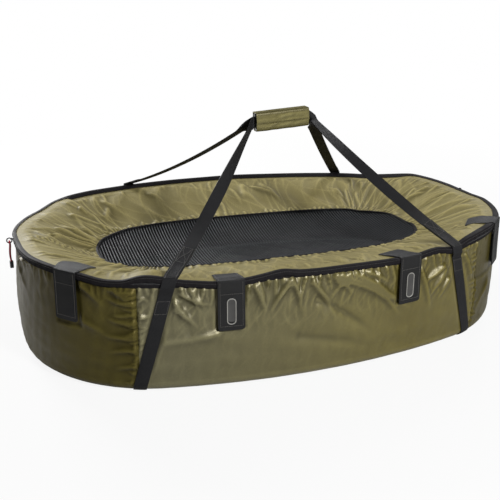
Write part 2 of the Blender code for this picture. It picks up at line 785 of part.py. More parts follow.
def build_grip(strap_pivot, flap_pivot):
    """Build the padded wrap on the back strap and the hook-and-loop flap that closes it."""
    depth, half = GRIP_DEPTH / 2, GRIP_HEIGHT / 2
    lip = GRIP_HEIGHT * GRIP_LIP_share - half
    outer = trough(depth, GRIP_CORNER, -half, lip, half)
    inner = trough(depth - CLOTH, GRIP_CORNER - CLOTH, -half + CLOTH, lip, half)
    add_piece("grip_cover", along_grip(outer + inner[::-1]), KHAKI, strap_pivot)
    skin = CLOTH + GAP
    slot = GAP / 2 + WEBBING + GAP
    floor = -WEBBING_WIDTH / 2 - GAP
    padding = trough(depth - skin, GRIP_CORNER - skin, -half + skin, lip, half)
    padding += [(slot, half), (slot, floor), (-slot, floor), (-slot, lip)]
    add_piece("grip_pad", along_grip(padding), FOAM, strap_pivot)
    flap_foot = half - GRIP_HEIGHT * GRIP_FLAP_share
    front = -depth - GAP
    top = half + GAP
    flap = [
        (depth, top),
        (depth, top + CLOTH),
        (front - CLOTH / 2, top + CLOTH),
        (front - CLOTH, top + CLOTH / 2),
        (front - CLOTH, flap_foot),
        (front, flap_foot),
        (front, lip + GAP),
        (-slot, lip + GAP),
        (-slot, top),
    ]
    add_piece("grip_flap", along_grip(flap), KHAKI, flap_pivot)


EYE_OUT = COIL_OUT + GAP + SLIDER_WALL
EYE_GAP = PULL_RING_WIRE * 5


def build_slider(side, pivot, pull_pivot):
    """Build one zip slider with its eye, and the pull ring that hangs in it."""
    angle = slider_angle(side)
    frame = local_frame(angle)
    half = SLIDER_LENGTH / 2
    under = RIM_HEIGHT - COIL - GAP
    top = LID_TAPE_Z + COIL
    near = COIL_OUT + GAP
    hook = [
        (GAP, under - SLIDER_WALL),
        (EYE_OUT, under - SLIDER_WALL),
        (EYE_OUT, top),
        (near, top),
        (near, under),
        (GAP, under),
    ]
    points = [frame @ Vector((-half, y, z)) for y, z in hook]
    body = prism(points, frame.to_3x3() @ Vector((SLIDER_LENGTH, 0, 0)))
    slider = add_piece(f"zip_slider_{side}", body, METAL, pivot)
    wire = PULL_RING_WIRE
    arm = EYE_GAP / 2
    eye = [
        (-arm - wire, EYE_OUT - wire),
        (arm + wire, EYE_OUT - wire),
        (arm + wire, EYE_OUT + EYE_GAP + wire),
        (-arm - wire, EYE_OUT + EYE_GAP + wire),
    ]
    hole = [
        (-arm, EYE_OUT + GAP),
        (arm, EYE_OUT + GAP),
        (arm, EYE_OUT + EYE_GAP),
        (-arm, EYE_OUT + EYE_GAP),
    ]
    level = RIM_HEIGHT - wire
    loop = add_piece(f"eye_{side}", flat(frame, eye, level, level + 2 * wire), METAL, pivot)
    cut = add_piece(f"eye_hole_{side}", flat(frame, hole, level - wire, level + 3 * wire), METAL, pivot)
    for tool, operation in ((loop, "UNION"), (cut, "DIFFERENCE")):
        tool.hide_render = True
        tool.display_type = "WIRE"
        change = slider.modifiers.new(tool.name, "BOOLEAN")
        change.operation = operation
        change.solver = "EXACT"
        change.object = tool
    out = EYE_OUT + EYE_GAP / 2 + PULL_RING_RADIUS * math.cos(PULL_RING_TILT)
    ring_frame = frame @ Matrix.Translation((0, out, RIM_HEIGHT - PULL_RING_RADIUS * math.sin(PULL_RING_TILT)))
    add_piece(f"pull_ring_{side}", torus(ring_frame), METAL, pull_pivot)
    return ring_frame


def slider_angle(side):
    """Return the normal's angle where a slider stands."""
    turn = math.asin(SLIDER_PLACE / END_RADIUS)
    return turn if side == "right" else LEFT - turn


RING_STEPS = 16
WIRE_STEPS = 6


def torus(frame):
    """Return a pull ring that stands in the frame's Y and Z."""
    rings = []
    for i in range(RING_STEPS):
        a = TURN * i / RING_STEPS
        ring = []
        for k in range(WIRE_STEPS):
            b = TURN * k / WIRE_STEPS
            reach = PULL_RING_RADIUS + PULL_RING_WIRE * math.cos(b)
            ring.append(frame @ Vector((PULL_RING_WIRE * math.sin(b), reach * math.cos(a), reach * math.sin(a))))
        rings.append(ring)
    mesh = bmesh.new()
    lines = [[mesh.verts.new(p) for p in ring] for ring in rings]
    for i in range(RING_STEPS):
        a, b = lines[i], lines[(i + 1) % RING_STEPS]
        for k in range(WIRE_STEPS):
            n = (k + 1) % WIRE_STEPS
            mesh.faces.new((a[k], a[n], b[n], b[k]))
    return mesh


def build_pull_cord(ring_frame, pivot):
    """Build the red cord looped through the left pull ring, and the moulded end that holds it."""
    low = CORD_RADIUS + PULL_RING_WIRE + GAP - CORD_SPREAD - PULL_RING_RADIUS
    points = []
    foot = low - CORD_LOOP
    neck = CORD_END_WIDTH / 2 - CORD_RADIUS - SLIDER_WALL / 2
    for i in range(5):
        share = i / 5
        points.append((neck + (CORD_SPREAD - neck) * share, 0, foot + CORD_LOOP * share))
    for i in range(9):
        a = math.pi * i / 8
        points.append((CORD_SPREAD * math.cos(a), 0, low + CORD_SPREAD * math.sin(a)))
    for x, y, z in points[4::-1]:
        points.append((-x, y, z))
    curve = bpy.data.curves.new("pull_cord", "CURVE")
    curve.dimensions = "3D"
    curve.bevel_depth = CORD_RADIUS
    curve.bevel_resolution = 1
    curve.use_fill_caps = True
    spline = curve.splines.new("POLY")
    spline.points.add(len(points) - 1)
    for knot, point in zip(spline.points, points):
        place = ring_frame @ Vector(point) - pivot.location
        knot.co = (*place, 1.0)
    cord = bpy.data.objects.new("pull_cord", curve)
    curve.materials.append(RED_CORD)
    bpy.context.scene.collection.objects.link(cord)
    cord.parent = pivot
    top = foot - GAP
    half = CORD_END_WIDTH / 2
    outline = box_outline((-half, top - CORD_END_LENGTH), (half, top), half / 2)
    depth = CORD_END_DEPTH / 2
    add_piece("pull_cord_end", upright(ring_frame, outline, -depth, depth), PLASTIC, pivot)


def build_mat():
    """Build the whole mat, each moving group under an empty on its joint's axis."""
    build_tub()
    build_straps_on_tub()
    lid_pivot = add_pivot("lid_hinge", (0, HINGE_Y, HINGE_Z))
    build_lid(lid_pivot)
    build_tabs(lid_pivot)
    pivots = {}
    for wall_name, back in (("front", False), ("back", True)):
        feet = [strap_row(side, back, STRAP_IN - WEBBING, STRAP_STITCH_HEIGHT)[2] for side in (-1, 1)]
        pivots[wall_name] = add_pivot(f"strap_{wall_name}_hinge", (feet[0] + feet[1]) / 2)
        build_strap(wall_name, back, pivots[wall_name])
    flap_hinge = GRIP_FRAME @ Vector((0, GRIP_DEPTH / 2, GRIP_HEIGHT / 2 + GAP / 2))
    build_grip(pivots["back"], add_pivot("grip_flap_hinge", flap_hinge))
    for side in ("left", "right"):
        centre = END_CENTRE.x if side == "right" else -END_CENTRE.x
        pivot = add_pivot(f"slider_{side}_axis", (centre, 0, RIM_HEIGHT))
        hole = local_frame(slider_angle(side), EYE_OUT + EYE_GAP / 2, RIM_HEIGHT)
        pull_pivot = add_pivot(f"pull_{side}_hinge", hole.translation)
        ring_frame = build_slider(side, pivot, pull_pivot)
        if side == "left":
            build_pull_cord(ring_frame, pull_pivot)


build_mat()
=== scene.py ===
"""Looks of the walled unhooking mat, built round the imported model's frame.

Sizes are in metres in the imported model's frame: X runs along the mat to its right end,
Y from the front to the back, and Z up from the ground.
"""

import json
import logging
import math
from collections.abc import Callable
from dataclasses import dataclass, field
from enum import Enum

import bmesh
import bpy
import numpy as np
from mathutils import Matrix, Vector

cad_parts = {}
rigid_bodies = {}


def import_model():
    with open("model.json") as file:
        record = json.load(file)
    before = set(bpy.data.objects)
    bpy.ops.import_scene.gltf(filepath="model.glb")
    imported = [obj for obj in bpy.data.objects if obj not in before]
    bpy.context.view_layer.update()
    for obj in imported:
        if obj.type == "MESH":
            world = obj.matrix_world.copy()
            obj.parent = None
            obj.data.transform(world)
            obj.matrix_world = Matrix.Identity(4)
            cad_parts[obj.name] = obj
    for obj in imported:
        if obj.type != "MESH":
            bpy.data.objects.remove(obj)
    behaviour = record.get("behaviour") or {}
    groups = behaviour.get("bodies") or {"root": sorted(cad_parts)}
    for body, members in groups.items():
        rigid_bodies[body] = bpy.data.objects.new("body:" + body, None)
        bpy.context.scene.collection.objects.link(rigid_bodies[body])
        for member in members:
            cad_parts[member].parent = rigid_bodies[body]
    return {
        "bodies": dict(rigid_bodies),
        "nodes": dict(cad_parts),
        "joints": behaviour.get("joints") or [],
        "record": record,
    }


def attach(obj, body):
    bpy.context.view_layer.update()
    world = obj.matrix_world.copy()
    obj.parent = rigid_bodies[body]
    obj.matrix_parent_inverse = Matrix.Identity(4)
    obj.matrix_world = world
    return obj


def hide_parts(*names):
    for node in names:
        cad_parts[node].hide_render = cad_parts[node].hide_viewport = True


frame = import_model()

Array = np.ndarray
Socket = bpy.types.NodeSocket
Piece = bpy.types.Object
Pair = tuple[float, float]
Triple = tuple[float, float, float]

LOG = logging.getLogger("mat")
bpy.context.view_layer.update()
MM = 1000.0
UP = np.array([0.0, 0.0, 1.0])

# Sizes that more than one piece shares
SHOULDER = 0.007
SEAM_X = 0.4355
PATCH_HALF = 0.022
PATCH_HEIGHT = 0.074
PATCH_FOOT = 0.006
PANEL_DEPTH = 0.16
QUILT = 0.16
SHARP_ANGLE = math.radians(62)
WEB_WIDTH = 0.03
WEB_SHARES = np.linspace(-0.5, 0.5, 9)
ZIP_PITCH = 0.0026
ZIP_RADIUS = 0.00095
ZIP_HALF = 0.00125

# How the cloth's unevenness and its finish are drawn
FOLD_POINTS = 12
FOLD_REACH = 3.2
FOLD_SHARPNESS = 2.3
FOLD_FADE_IN = 0.3
FOLD_FADE_OUT = 0.75
RIPPLES = 9
CREASES = 6
CREASE_RANGE = 2.4
CREASE_SPREAD = 0.6
CREST_BEND = 55.0
BAR_SIDES = 6
CORD_SIDES = 8
ROOT_COLUMNS = 15
WAVE_STEPS = 1800
HALVINGS = 50
DEPTH_HALVINGS = 30
SPECK_SCALE = 420.0
SPECK_RANGE = (0.86, 1.1)
THREAD_SHADE = (0.22, 0.86)
WEAVE_DEPTH = 0.3
CRUMPLE_DEPTH = 0.004
SHEEN_ROUGHNESS = 0.45

# The pitch, length and radius of each kind of stitch
TAPE_STITCH = (0.0042, 0.0031, 0.0005)
SEAM_STITCH = (0.0046, 0.0034, 0.0006)
BOX_STITCH = (0.0036, 0.0029, 0.0005)
FINE_STITCH = (0.004, 0.003, 0.0005)
TAB_STITCH = (0.004, 0.003, 0.00055)
LEG_STITCH = (0.004, 0.0031, 0.0005)


class Panel(Enum):
    """The four cloth panels of the wall."""

    RIGHT = "right"
    BACK = "back"
    LEFT = "left"
    FRONT = "front"


class Side(Enum):
    """The two ends that a strap or slider may stand at."""

    LEFT = -1
    RIGHT = 1

    @property
    def word(self) -> str:
        """Return the side's name in lower case."""
        return self.name.lower()


class Weave(Enum):
    """The ways that a finish's threads are laid."""

    PLAIN = "plain"
    TWILL = "twill"
    RIBBED = "ribbed"
    LOOPED = "looped"


def smooth(t: Array) -> Array:
    """Return t eased from 0 to 1 and held there."""
    t = np.clip(t, 0.0, 1.0)
    return t * t * (3 - 2 * t)


def running(steps: Array) -> Array:
    """Return the length run at each point, from the steps between them."""
    return np.concatenate([[0.0], np.cumsum(steps)])


def step_lengths(path: Array) -> Array:
    """Return the distances between a path's points."""
    return np.linalg.norm(np.diff(path, axis=0), axis=1)


def at_run(at: Array, run: Array, rows: Array) -> Array:
    """Return rows of numbers at places along a run."""
    return np.stack([np.interp(at, run, column) for column in rows.T], -1)


def crossed(columns: Array, rows: Array) -> Array:
    """Return a grid's UV places from those of its columns and of its rows."""
    return np.stack(np.meshgrid(columns, rows), -1)


# Node trees


class Tree:
    """A node tree of a material or world, with short calls to add and join nodes."""

    def __init__(self, owner: bpy.types.ID) -> None:
        """Keep the tree and, of a material, its shader.

        Args:
            owner: The material or world.
        """
        owner.use_nodes = True
        self.owner = owner
        self.nodes = owner.node_tree.nodes
        self.links = owner.node_tree.links
        self.shader = self.nodes.get("Principled BSDF")

    def add(self, kind: str, **values: object) -> bpy.types.Node:
        """Add a node.

        Args:
            kind: The node's type without its prefix.
            values: Attributes of the node, or sockets whose names start with in_.

        Returns:
            The new node.
        """
        node = self.nodes.new("ShaderNode" + kind)
        for key, value in values.items():
            if key.startswith("in_"):
                self.feed(node.inputs[int(key[3:])], value)
            else:
                setattr(node, key, value)
        return node

    def feed(self, socket: Socket, value: object) -> None:
        """Link a socket to another, or set its own value.

        Args:
            socket: The socket.
            value: Another socket, or a value.
        """
        if isinstance(value, Socket):
            self.links.new(value, socket)
        else:
            socket.default_value = value

    def name_feed(self, node: bpy.types.Node, values: dict[str, object]) -> None:
        """Link or set a node's sockets by their names."""
        for name, value in values.items():
            self.feed(node.inputs[name], value)

    def shade(self, values: dict[str, object]) -> None:
        """Link or set the shader's sockets by their names."""
        self.name_feed(self.shader, values)

    def math(self, operation: str, *values: object) -> Socket:
        """Return the result of a math node on sockets or numbers.

        Args:
            operation: The node's operation.
            values: What its inputs are fed with.

        Returns:
            The result's socket.
        """
        node = self.add("Math", operation=operation)
        for socket, value in zip(node.inputs, values):
            self.feed(socket, value)
        return node.outputs[0]

    def wave(self, angle: Socket, folded: bool = False) -> Socket:
        """Return an angle's sine, or its size alone when the wave is folded."""
        sine = self.math("SINE", angle)
        return self.math("ABSOLUTE", sine) if folded else sine

    def mix(self, share: object, first: object, second: object) -> Socket:
        """Return a colour between two by a share."""
        first, second = ((*c, 1.0) if isinstance(c, tuple) else c for c in (first, second))
        return self.add("Mix", data_type="RGBA", in_0=share, in_6=first, in_7=second).outputs[2]

    def noise(self, place: Socket, scale: float, detail: float, kind: str = "FBM",
              distortion: float = 0.0) -> Socket:
        """Return a noise value from 0 to 1.

        Args:
            place: Where the noise is read.
            scale: How many times it changes in a metre.
            detail: Its levels of detail.
            kind: The noise's type.
            distortion: How far it is warped.

        Returns:
            The value's socket.
        """
        node = self.add("TexNoise", noise_type=kind)
        self.name_feed(node, {"Vector": place, "Scale": scale, "Detail": detail, "Distortion": distortion})
        return node.outputs[0]

    def ranged(self, value: Socket, low: float, high: float) -> Socket:
        """Return a 0 to 1 value moved to a range."""
        return self.add("MapRange", in_0=value, in_1=0.25, in_2=0.75, in_3=low, in_4=high).outputs[0]

    def bump(self, height: Socket, strength: float, distance: float, below: Socket | None = None) -> Socket:
        """Return the normal of a relief.

        Args:
            height: The relief's height.
            strength: Its share of the normal.
            distance: Its depth in metres.
            below: A normal that it is laid on.

        Returns:
            The normal's socket.
        """
        node = self.add("Bump")
        self.name_feed(node, {"Height": height, "Strength": strength, "Distance": distance})
        if below is not None:
            self.feed(node.inputs["Normal"], below)
        return node.outputs[0]

    def seen(self) -> Socket:
        """Return 1 for rays from the camera, also after clear things, and 0 for all others."""
        path = self.add("LightPath")
        return self.math("MAXIMUM", path.outputs["Is Camera Ray"], path.outputs["Is Transmission Ray"])


@dataclass(frozen=True)
class ClothFinish:
    """A woven finish whose threads follow the piece's own UV map, in metres."""

    name: str
    colour: Triple
    shade: Triple
    weave: Weave
    pitch: float
    rough: Pair = (0.5, 0.6)
    specular: float = 0.5
    weave_bump: float = 0.4
    crumple: float = 0.0
    crumple_scale: float = 30.0
    gloss_tint: Triple = (1.0, 1.0, 1.0)
    patch_scale: float = 7.0
    # How far the crest attribute paints light on crests and shade in hollows.
    crest_share: float = 0.42
    sheen: float = 0.0
    sheen_tint: Triple = (1.0, 1.0, 1.0)
    # A painted sheen: a greyer colour blended in along X, in place of a reflection of the light.
    wash: Triple = (1.0, 1.0, 1.0)
    wash_from: float = 0.0
    wash_to: float = 0.0

    def threads(self, tree: Tree, uv: Socket) -> Socket:
        """Return the weave's height from 0 to 1.

        Args:
            tree: The material's tree.
            uv: The UV map's socket.

        Returns:
            The height's socket.
        """
        if self.weave is Weave.LOOPED:
            return tree.noise(uv, 1.0 / self.pitch, 3.0)
        split = tree.add("SeparateXYZ", in_0=uv)
        turn = 2 * math.pi / self.pitch
        across, along = (tree.math("MULTIPLY", split.outputs[k], turn) for k in (0, 1))
        half = tree.math("MULTIPLY", along, 0.5)
        if self.weave is Weave.RIBBED:
            rib = tree.wave(half, True)
            fine = tree.wave(tree.math("MULTIPLY", across, 0.5), True)
            return tree.math("ADD", tree.math("MULTIPLY", rib, 0.75), tree.math("MULTIPLY", fine, 0.25))
        if self.weave is Weave.TWILL:
            slant, other = (tree.wave(tree.math(way, across, half)) for way in ("ADD", "SUBTRACT"))
            return tree.math("MULTIPLY_ADD", tree.math("MAXIMUM", slant, other), 0.5, 0.5)
        product = tree.math("MULTIPLY", tree.wave(across), tree.wave(along))
        return tree.math("MULTIPLY_ADD", product, 0.5, 0.5)

    def washed(self, tree: Tree, place: Socket, cloudy: Socket) -> Socket:
        """Return a colour with a painted sheen on it, a greyer colour in place of a reflection, gone at the
        first given X and full at the second.

        Args:
            tree: The material's tree.
            place: The object coordinates.
            cloudy: The colour so far.

        Returns:
            The colour's socket.
        """
        along = tree.add("SeparateXYZ", in_0=place).outputs[0]
        slope = 1.0 / (self.wash_to - self.wash_from)
        share = tree.math("MULTIPLY_ADD", along, slope, -self.wash_from * slope)
        share = tree.math("MINIMUM", tree.math("MAXIMUM", share, 0.0), 1.0)
        return tree.mix(share, cloudy, self.wash)

    def build(self) -> bpy.types.Material:
        """Return the finish as a material.

        Returns:
            The new material.
        """
        tree = Tree(bpy.data.materials.new(self.name))
        place = tree.add("TexCoord").outputs["Object"]
        height = self.threads(tree, tree.add("UVMap").outputs[0])
        patch = tree.ranged(tree.noise(place, self.patch_scale, 4.0), 0.0, 1.0)
        cloudy = tree.mix(patch, self.shade, self.colour)
        # Lay on the painted sheen, which stands in for a reflection.
        if self.wash_from != self.wash_to:
            cloudy = self.washed(tree, place, cloudy)
        speck = tree.ranged(tree.noise(place, SPECK_SCALE, 1.0), *SPECK_RANGE)
        # Specks of random tone, times painted shade where the weave lies low.
        grain = tree.math("MULTIPLY", speck, tree.math("MULTIPLY_ADD", height, *THREAD_SHADE))
        normal = tree.bump(height, self.weave_bump, self.pitch * WEAVE_DEPTH)
        # On crumpled cloth the crest attribute paints light and shade into the colour: lighter on outward
        # bends, darker in hollows and creases.
        if self.crumple:
            crest = tree.add("Attribute", attribute_name="crest").outputs["Fac"]
            grain = tree.math("MULTIPLY", grain, tree.math("MULTIPLY_ADD", crest, self.crest_share, 1.0))
            creased = tree.noise(place, self.crumple_scale, 3.0, "RIDGED_MULTIFRACTAL", 0.6)
            normal = tree.bump(creased, self.crumple, CRUMPLE_DEPTH, normal)
        # The colour is multiplied by the specks, the painted shade of the weave and the painted light and
        # shade of the crests.
        worn = tree.add("Mix", data_type="RGBA", blend_type="MULTIPLY", in_0=1.0, in_6=cloudy, in_7=grain)
        tree.shade({
            "Base Color": worn.outputs[2],
            "Roughness": tree.ranged(tree.noise(place, 30.0, 3.0), *self.rough),
            "Specular IOR Level": self.specular,
            "Specular Tint": (*self.gloss_tint, 1.0),
            "Sheen Weight": self.sheen,
            "Sheen Roughness": SHEEN_ROUGHNESS,
            "Sheen Tint": (*self.sheen_tint, 1.0),
            "Normal": normal,
        })
        return tree.owner


@dataclass(frozen=True)
class HardFinish:
    """A moulded or coated finish, with grain and wear from the piece's own places."""

    name: str
    colour: Triple
    worn: Triple
    rough: Pair
    metallic: float = 0.0
    grain: float = 900.0
    bump: float = 0.15

    def build(self) -> bpy.types.Material:
        """Return the finish as a material.

        Returns:
            The new material.
        """
        tree = Tree(bpy.data.materials.new(self.name))
        place = tree.add("TexCoord").outputs["Object"]
        patch = tree.ranged(tree.noise(place, 60.0, 4.0), 0.0, 1.0)
        tree.shade({
            "Base Color": tree.mix(patch, self.colour, self.worn),
            "Roughness": tree.ranged(tree.noise(place, 140.0, 3.0), *self.rough),
            "Metallic": self.metallic,
            "Normal": tree.bump(tree.noise(place, self.grain, 2.0), self.bump, 0.0004),
        })
        return tree.owner


class Finishes:
    """The mat's finishes, each made once."""

    # The olive cloth carries a painted sheen, greyer towards the mat's left, in place of a reflection of the
    # light.
    OLIVE = ClothFinish("olive_satin_nylon", (0.1, 0.083, 0.018), (0.068, 0.055, 0.01), Weave.PLAIN,
                        0.0011, (0.34, 0.44), 0.9, 0.22, 0.14, gloss_tint=(1.0, 0.92, 0.66),
                        wash=(0.094, 0.087, 0.046), wash_from=0.22, wash_to=-0.36)
    # A darker copy of the olive cloth: painted shade for the wall's end panels.
    OLIVE_END = ClothFinish("olive_brown_satin_nylon", (0.062, 0.053, 0.014), (0.04, 0.033, 0.008),
                            Weave.PLAIN, 0.0011, (0.36, 0.46), 0.32, 0.22, 0.16, gloss_tint=(1.0, 0.8, 0.35))
    KHAKI = ClothFinish("khaki_thin_nylon", (0.236, 0.204, 0.09), (0.168, 0.142, 0.057), Weave.PLAIN, 0.001,
                        (0.54, 0.64), 0.14, 0.2, 0.2, 34.0, (1.0, 0.9, 0.62))
    GRIP = ClothFinish("olive_grip_nylon", (0.165, 0.148, 0.06), (0.115, 0.101, 0.036), Weave.PLAIN, 0.001,
                       (0.34, 0.46), 0.5, 0.2, 0.18, 60.0, (1.0, 0.9, 0.6), 12.0)
    WEBBING = ClothFinish("black_webbing", (0.009, 0.009, 0.01), (0.006, 0.006, 0.007), Weave.TWILL, 0.0028,
                          (0.58, 0.7), 0.26, 0.6)
    TAPE = ClothFinish("black_tape", (0.009, 0.008, 0.009), (0.006, 0.005, 0.006), Weave.RIBBED, 0.0016,
                       (0.66, 0.78), 0.12)
    TAB = ClothFinish("black_tab_cloth", (0.011, 0.011, 0.012), (0.007, 0.007, 0.007), Weave.PLAIN, 0.0016,
                      (0.6, 0.72), 0.25, 0.5, sheen=0.02, sheen_tint=(0.85, 0.9, 1.0))
    HOOK = ClothFinish("black_hook_and_loop", (0.007, 0.007, 0.007), (0.004, 0.004, 0.004), Weave.LOOPED,
                       0.0012, (0.8, 0.95), 0.3, 0.9, sheen=0.1, sheen_tint=(0.6, 0.6, 0.65))
    NET = ClothFinish("black_mesh_thread", (0.024, 0.026, 0.029), (0.017, 0.018, 0.021), Weave.PLAIN, 0.0008,
                      (0.6, 0.72), 0.14, 0.3)
    LINER = ClothFinish("dark_wipe_clean_liner", (0.009, 0.01, 0.008), (0.006, 0.007, 0.005), Weave.PLAIN,
                        0.0012, (0.4, 0.55), 0.3, 0.15, 0.12, 22.0)
    FOAM = ClothFinish("grey_foam", (0.3, 0.3, 0.3), (0.22, 0.22, 0.22), Weave.LOOPED, 0.0016,
                       (0.85, 0.95), 0.2, 0.7)
    CORD = ClothFinish("red_cord", (0.5, 0.012, 0.035), (0.36, 0.008, 0.024), Weave.TWILL, 0.0012,
                       (0.6, 0.75), 0.4, 0.6, sheen=0.1, sheen_tint=(1.0, 0.8, 0.8))
    THREAD = ClothFinish("dark_thread", (0.03, 0.028, 0.026), (0.02, 0.019, 0.018), Weave.TWILL, 0.0005)
    PALE_THREAD = ClothFinish("grey_thread", (0.085, 0.08, 0.072), (0.06, 0.056, 0.05), Weave.TWILL,
                              0.0005)
    OLIVE_THREAD = ClothFinish("olive_thread", (0.075, 0.062, 0.022), (0.045, 0.038, 0.014), Weave.TWILL,
                               0.0005)
    PLASTIC = HardFinish("black_moulded_plastic", (0.016, 0.016, 0.018), (0.03, 0.03, 0.032), (0.32, 0.45))
    METAL = HardFinish("black_coated_metal", (0.035, 0.035, 0.04), (0.12, 0.12, 0.125), (0.25, 0.4), 0.9)
    BADGE = HardFinish("grey_moulded_rubber", (0.26, 0.255, 0.235), (0.2, 0.195, 0.18), (0.42, 0.55))
    BADGE_FIELD = HardFinish("dark_moulded_rubber", (0.045, 0.044, 0.042), (0.032, 0.031, 0.03), (0.5, 0.62))

    _made: dict[str, bpy.types.Material] = {}

    @classmethod
    def get(cls, finish: ClothFinish | HardFinish) -> bpy.types.Material:
        """Return a finish's material, made on its first use.

        Args:
            finish: The finish.

        Returns:
            Its material.
        """
        if finish.name not in cls._made:
            cls._made[finish.name] = finish.build()
        return cls._made[finish.name]


# The plan outline and what follows it


@dataclass
class Outline:
    """The mat's plan outline: arcs that meet smoothly, measured by the length along them."""

    length: float = 1.3
    width: float = 0.853
    end_share: float = 3.0
    side_share: float = 2.45
    corner_share: float = 0.82
    slack: tuple[Pair, ...] = (
        (-75, 0), (-40, 0.006), (0, 0.012), (45, 0.012), (80, 0.004), (95, 0), (285, 0))
    slack_top: tuple[Pair, ...] = (
        (-30, 0), (0, 0.013), (20, 0.026), (50, 0.028), (75, 0.01), (95, 0), (100, 0), (115, 0.008),
        (135, 0.016), (160, 0.014), (180, 0.005), (200, 0), (350, 0))

    def __post_init__(self) -> None:
        """Work out the eight arcs and where each begins."""
        half_length, half_width = self.length / 2, self.width / 2
        end = half_width * self.end_share
        side = half_length * self.side_share
        corner = half_width * self.corner_share
        end_centre = np.array([half_length - end, 0.0])
        side_centre = np.array([0.0, half_width - side])
        line = end_centre - side_centre
        apart = float(np.hypot(*line))
        along = ((side - corner) ** 2 - (end - corner) ** 2 + apart**2) / (2 * apart)
        across = math.sqrt((side - corner) ** 2 - along**2)
        line = line / apart
        square = np.array([-line[1], line[0]])
        choices = [side_centre + line * along + square * way * across for way in (-1, 1)]
        middle = max(choices, key=lambda point: point[0] + point[1])
        first = math.atan2(*(middle - end_centre)[::-1])
        second = math.atan2(*(middle - side_centre)[::-1])
        half = math.pi
        flips = ((1, 1), (1, 1), (1, 1), (-1, 1), (-1, 1), (-1, -1), (1, -1), (1, -1))
        centres = (end_centre, middle, side_centre, middle, end_centre, middle, side_centre, middle)
        self.centres = np.array([c * f for c, f in zip(centres, flips)])
        self.radii = np.array([end, corner, side, corner, end, corner, side, corner])
        ends = [-first, first, second, half - second, half - first, half + first, half + second]
        self.ends = np.array(ends + [2 * half - second, 2 * half - first])
        self.starts = running(self.radii * np.diff(self.ends))
        self.total = float(self.starts[-1])
        self.left_end = float(np.interp(half, self.ends, self.starts))

    def around(self, count: int) -> Array:
        """Return even lengths round the whole outline."""
        return np.linspace(0.0, self.total, count, endpoint=False)

    def apart(self, s: Array, other: Array | float) -> Array:
        """Return how far apart lengths lie, the shorter way round."""
        away = np.abs(s - other)
        return np.minimum(away, self.total - away)

    def angle(self, s: Array) -> Array:
        """Return the outward normal's angle at a length along the outline."""
        return np.interp(np.mod(s, self.total), self.starts, self.ends)

    def normal(self, s: Array) -> Array:
        """Return the outward normals, as points in three dimensions."""
        angle = self.angle(s)
        return np.stack([np.cos(angle), np.sin(angle), np.zeros_like(angle)], -1)

    def axes(self, s: float) -> tuple[Array, Array]:
        """Return the directions along the rim and out of it at one length."""
        away = self.normal(np.array([s]))[0]
        return np.cross(UP, away), away

    def give(self, s: Array, z: Array) -> Array:
        """Return how far the soft wall leans in from its pattern, at the right end and the back corners.

        Args:
            s: Lengths along the outline.
            z: The heights.

        Returns:
            The distances.
        """
        turn = np.degrees(self.angle(s))
        total = np.interp(turn, *np.array(self.slack).T, period=360)
        return total + np.interp(turn, *np.array(self.slack_top).T, period=360) * smooth((z - 0.08) / 0.17)

    def place(self, s: Array, inset: Array | float, z: Array | float) -> Array:
        """Return points on the real mat's soft outline, moved in from it and raised."""
        s, inset, z = np.broadcast_arrays(np.asarray(s, float), inset, z)
        return self.bare(s, inset + self.give(s, z), z)

    def bare(self, s: Array, inset: Array | float, z: Array | float) -> Array:
        """Return points on the outline as it was cut, moved in from it and raised.

        Args:
            s: Lengths along the outline.
            inset: How far in from the rim.
            z: The heights.

        Returns:
            An array of points, one more axis than s.
        """
        s, inset, z = np.broadcast_arrays(np.asarray(s, float), inset, z)
        angle = self.angle(s)
        arc = np.clip(np.searchsorted(self.ends, angle, side="right") - 1, 0, 7)
        reach = self.radii[arc] - inset
        centre = self.centres[arc]
        x = centre[..., 0] + reach * np.cos(angle)
        y = centre[..., 1] + reach * np.sin(angle)
        return np.stack([x, y, z], -1)

    def at_x(self, x: float, back: bool = False) -> float:
        """Return the length along the outline where it crosses a place along the mat.

        Args:
            x: The place along the mat.
            back: Whether the back is meant, not the front.

        Returns:
            The length.
        """
        low, high = (self.left_end, self.total)
        sign = 1.0
        if back:
            low, high, sign = 0.0, self.left_end, -1.0
        for _ in range(HALVINGS):
            middle = (low + high) / 2
            if (float(self.bare(middle, 0.0, 0.0)[0]) - x) * sign < 0:
                low = middle
            else:
                high = middle
        return (low + high) / 2

    def at_angle(self, angle: float) -> float:
        """Return the length along the outline where its normal has an angle.

        Args:
            angle: The normal's angle.

        Returns:
            The length.
        """
        turn = (angle + self.ends[-1]) % (2 * math.pi) - self.ends[-1]
        turn = turn if turn >= self.ends[0] else turn + 2 * math.pi
        return float(np.interp(turn, self.ends, self.starts))


OUTLINE = Outline()


@dataclass
class Wave:
    """A height that changes along the rim, given in millimetres at places along the mat's front and back."""

    front: tuple[Pair, ...]
    back: tuple[Pair, ...]
    softness: float = 0.011

    def __post_init__(self) -> None:
        """Lay the given heights out along the outline and soften them."""
        rows = ((self.front, False), (self.back, True))
        known = sorted((OUTLINE.at_x(x / MM, back), z / MM) for row, back in rows for x, z in row)
        self.table = OUTLINE.around(WAVE_STEPS)
        raw = np.interp(self.table, *np.array(known).T, period=OUTLINE.total)
        step = OUTLINE.total / WAVE_STEPS
        reach = int(3 * self.softness / step)
        kernel = np.exp(-0.5 * (np.arange(-reach, reach + 1) * step / self.softness) ** 2)
        kernel /= kernel.sum()
        wrapped = np.concatenate([raw[-reach:], raw, raw[:reach]])
        self.values = np.convolve(wrapped, kernel, "valid")

    def at(self, s: Array) -> Array:
        """Return the height at lengths along the outline."""
        return np.interp(np.mod(s, OUTLINE.total), self.table, self.values, period=OUTLINE.total)


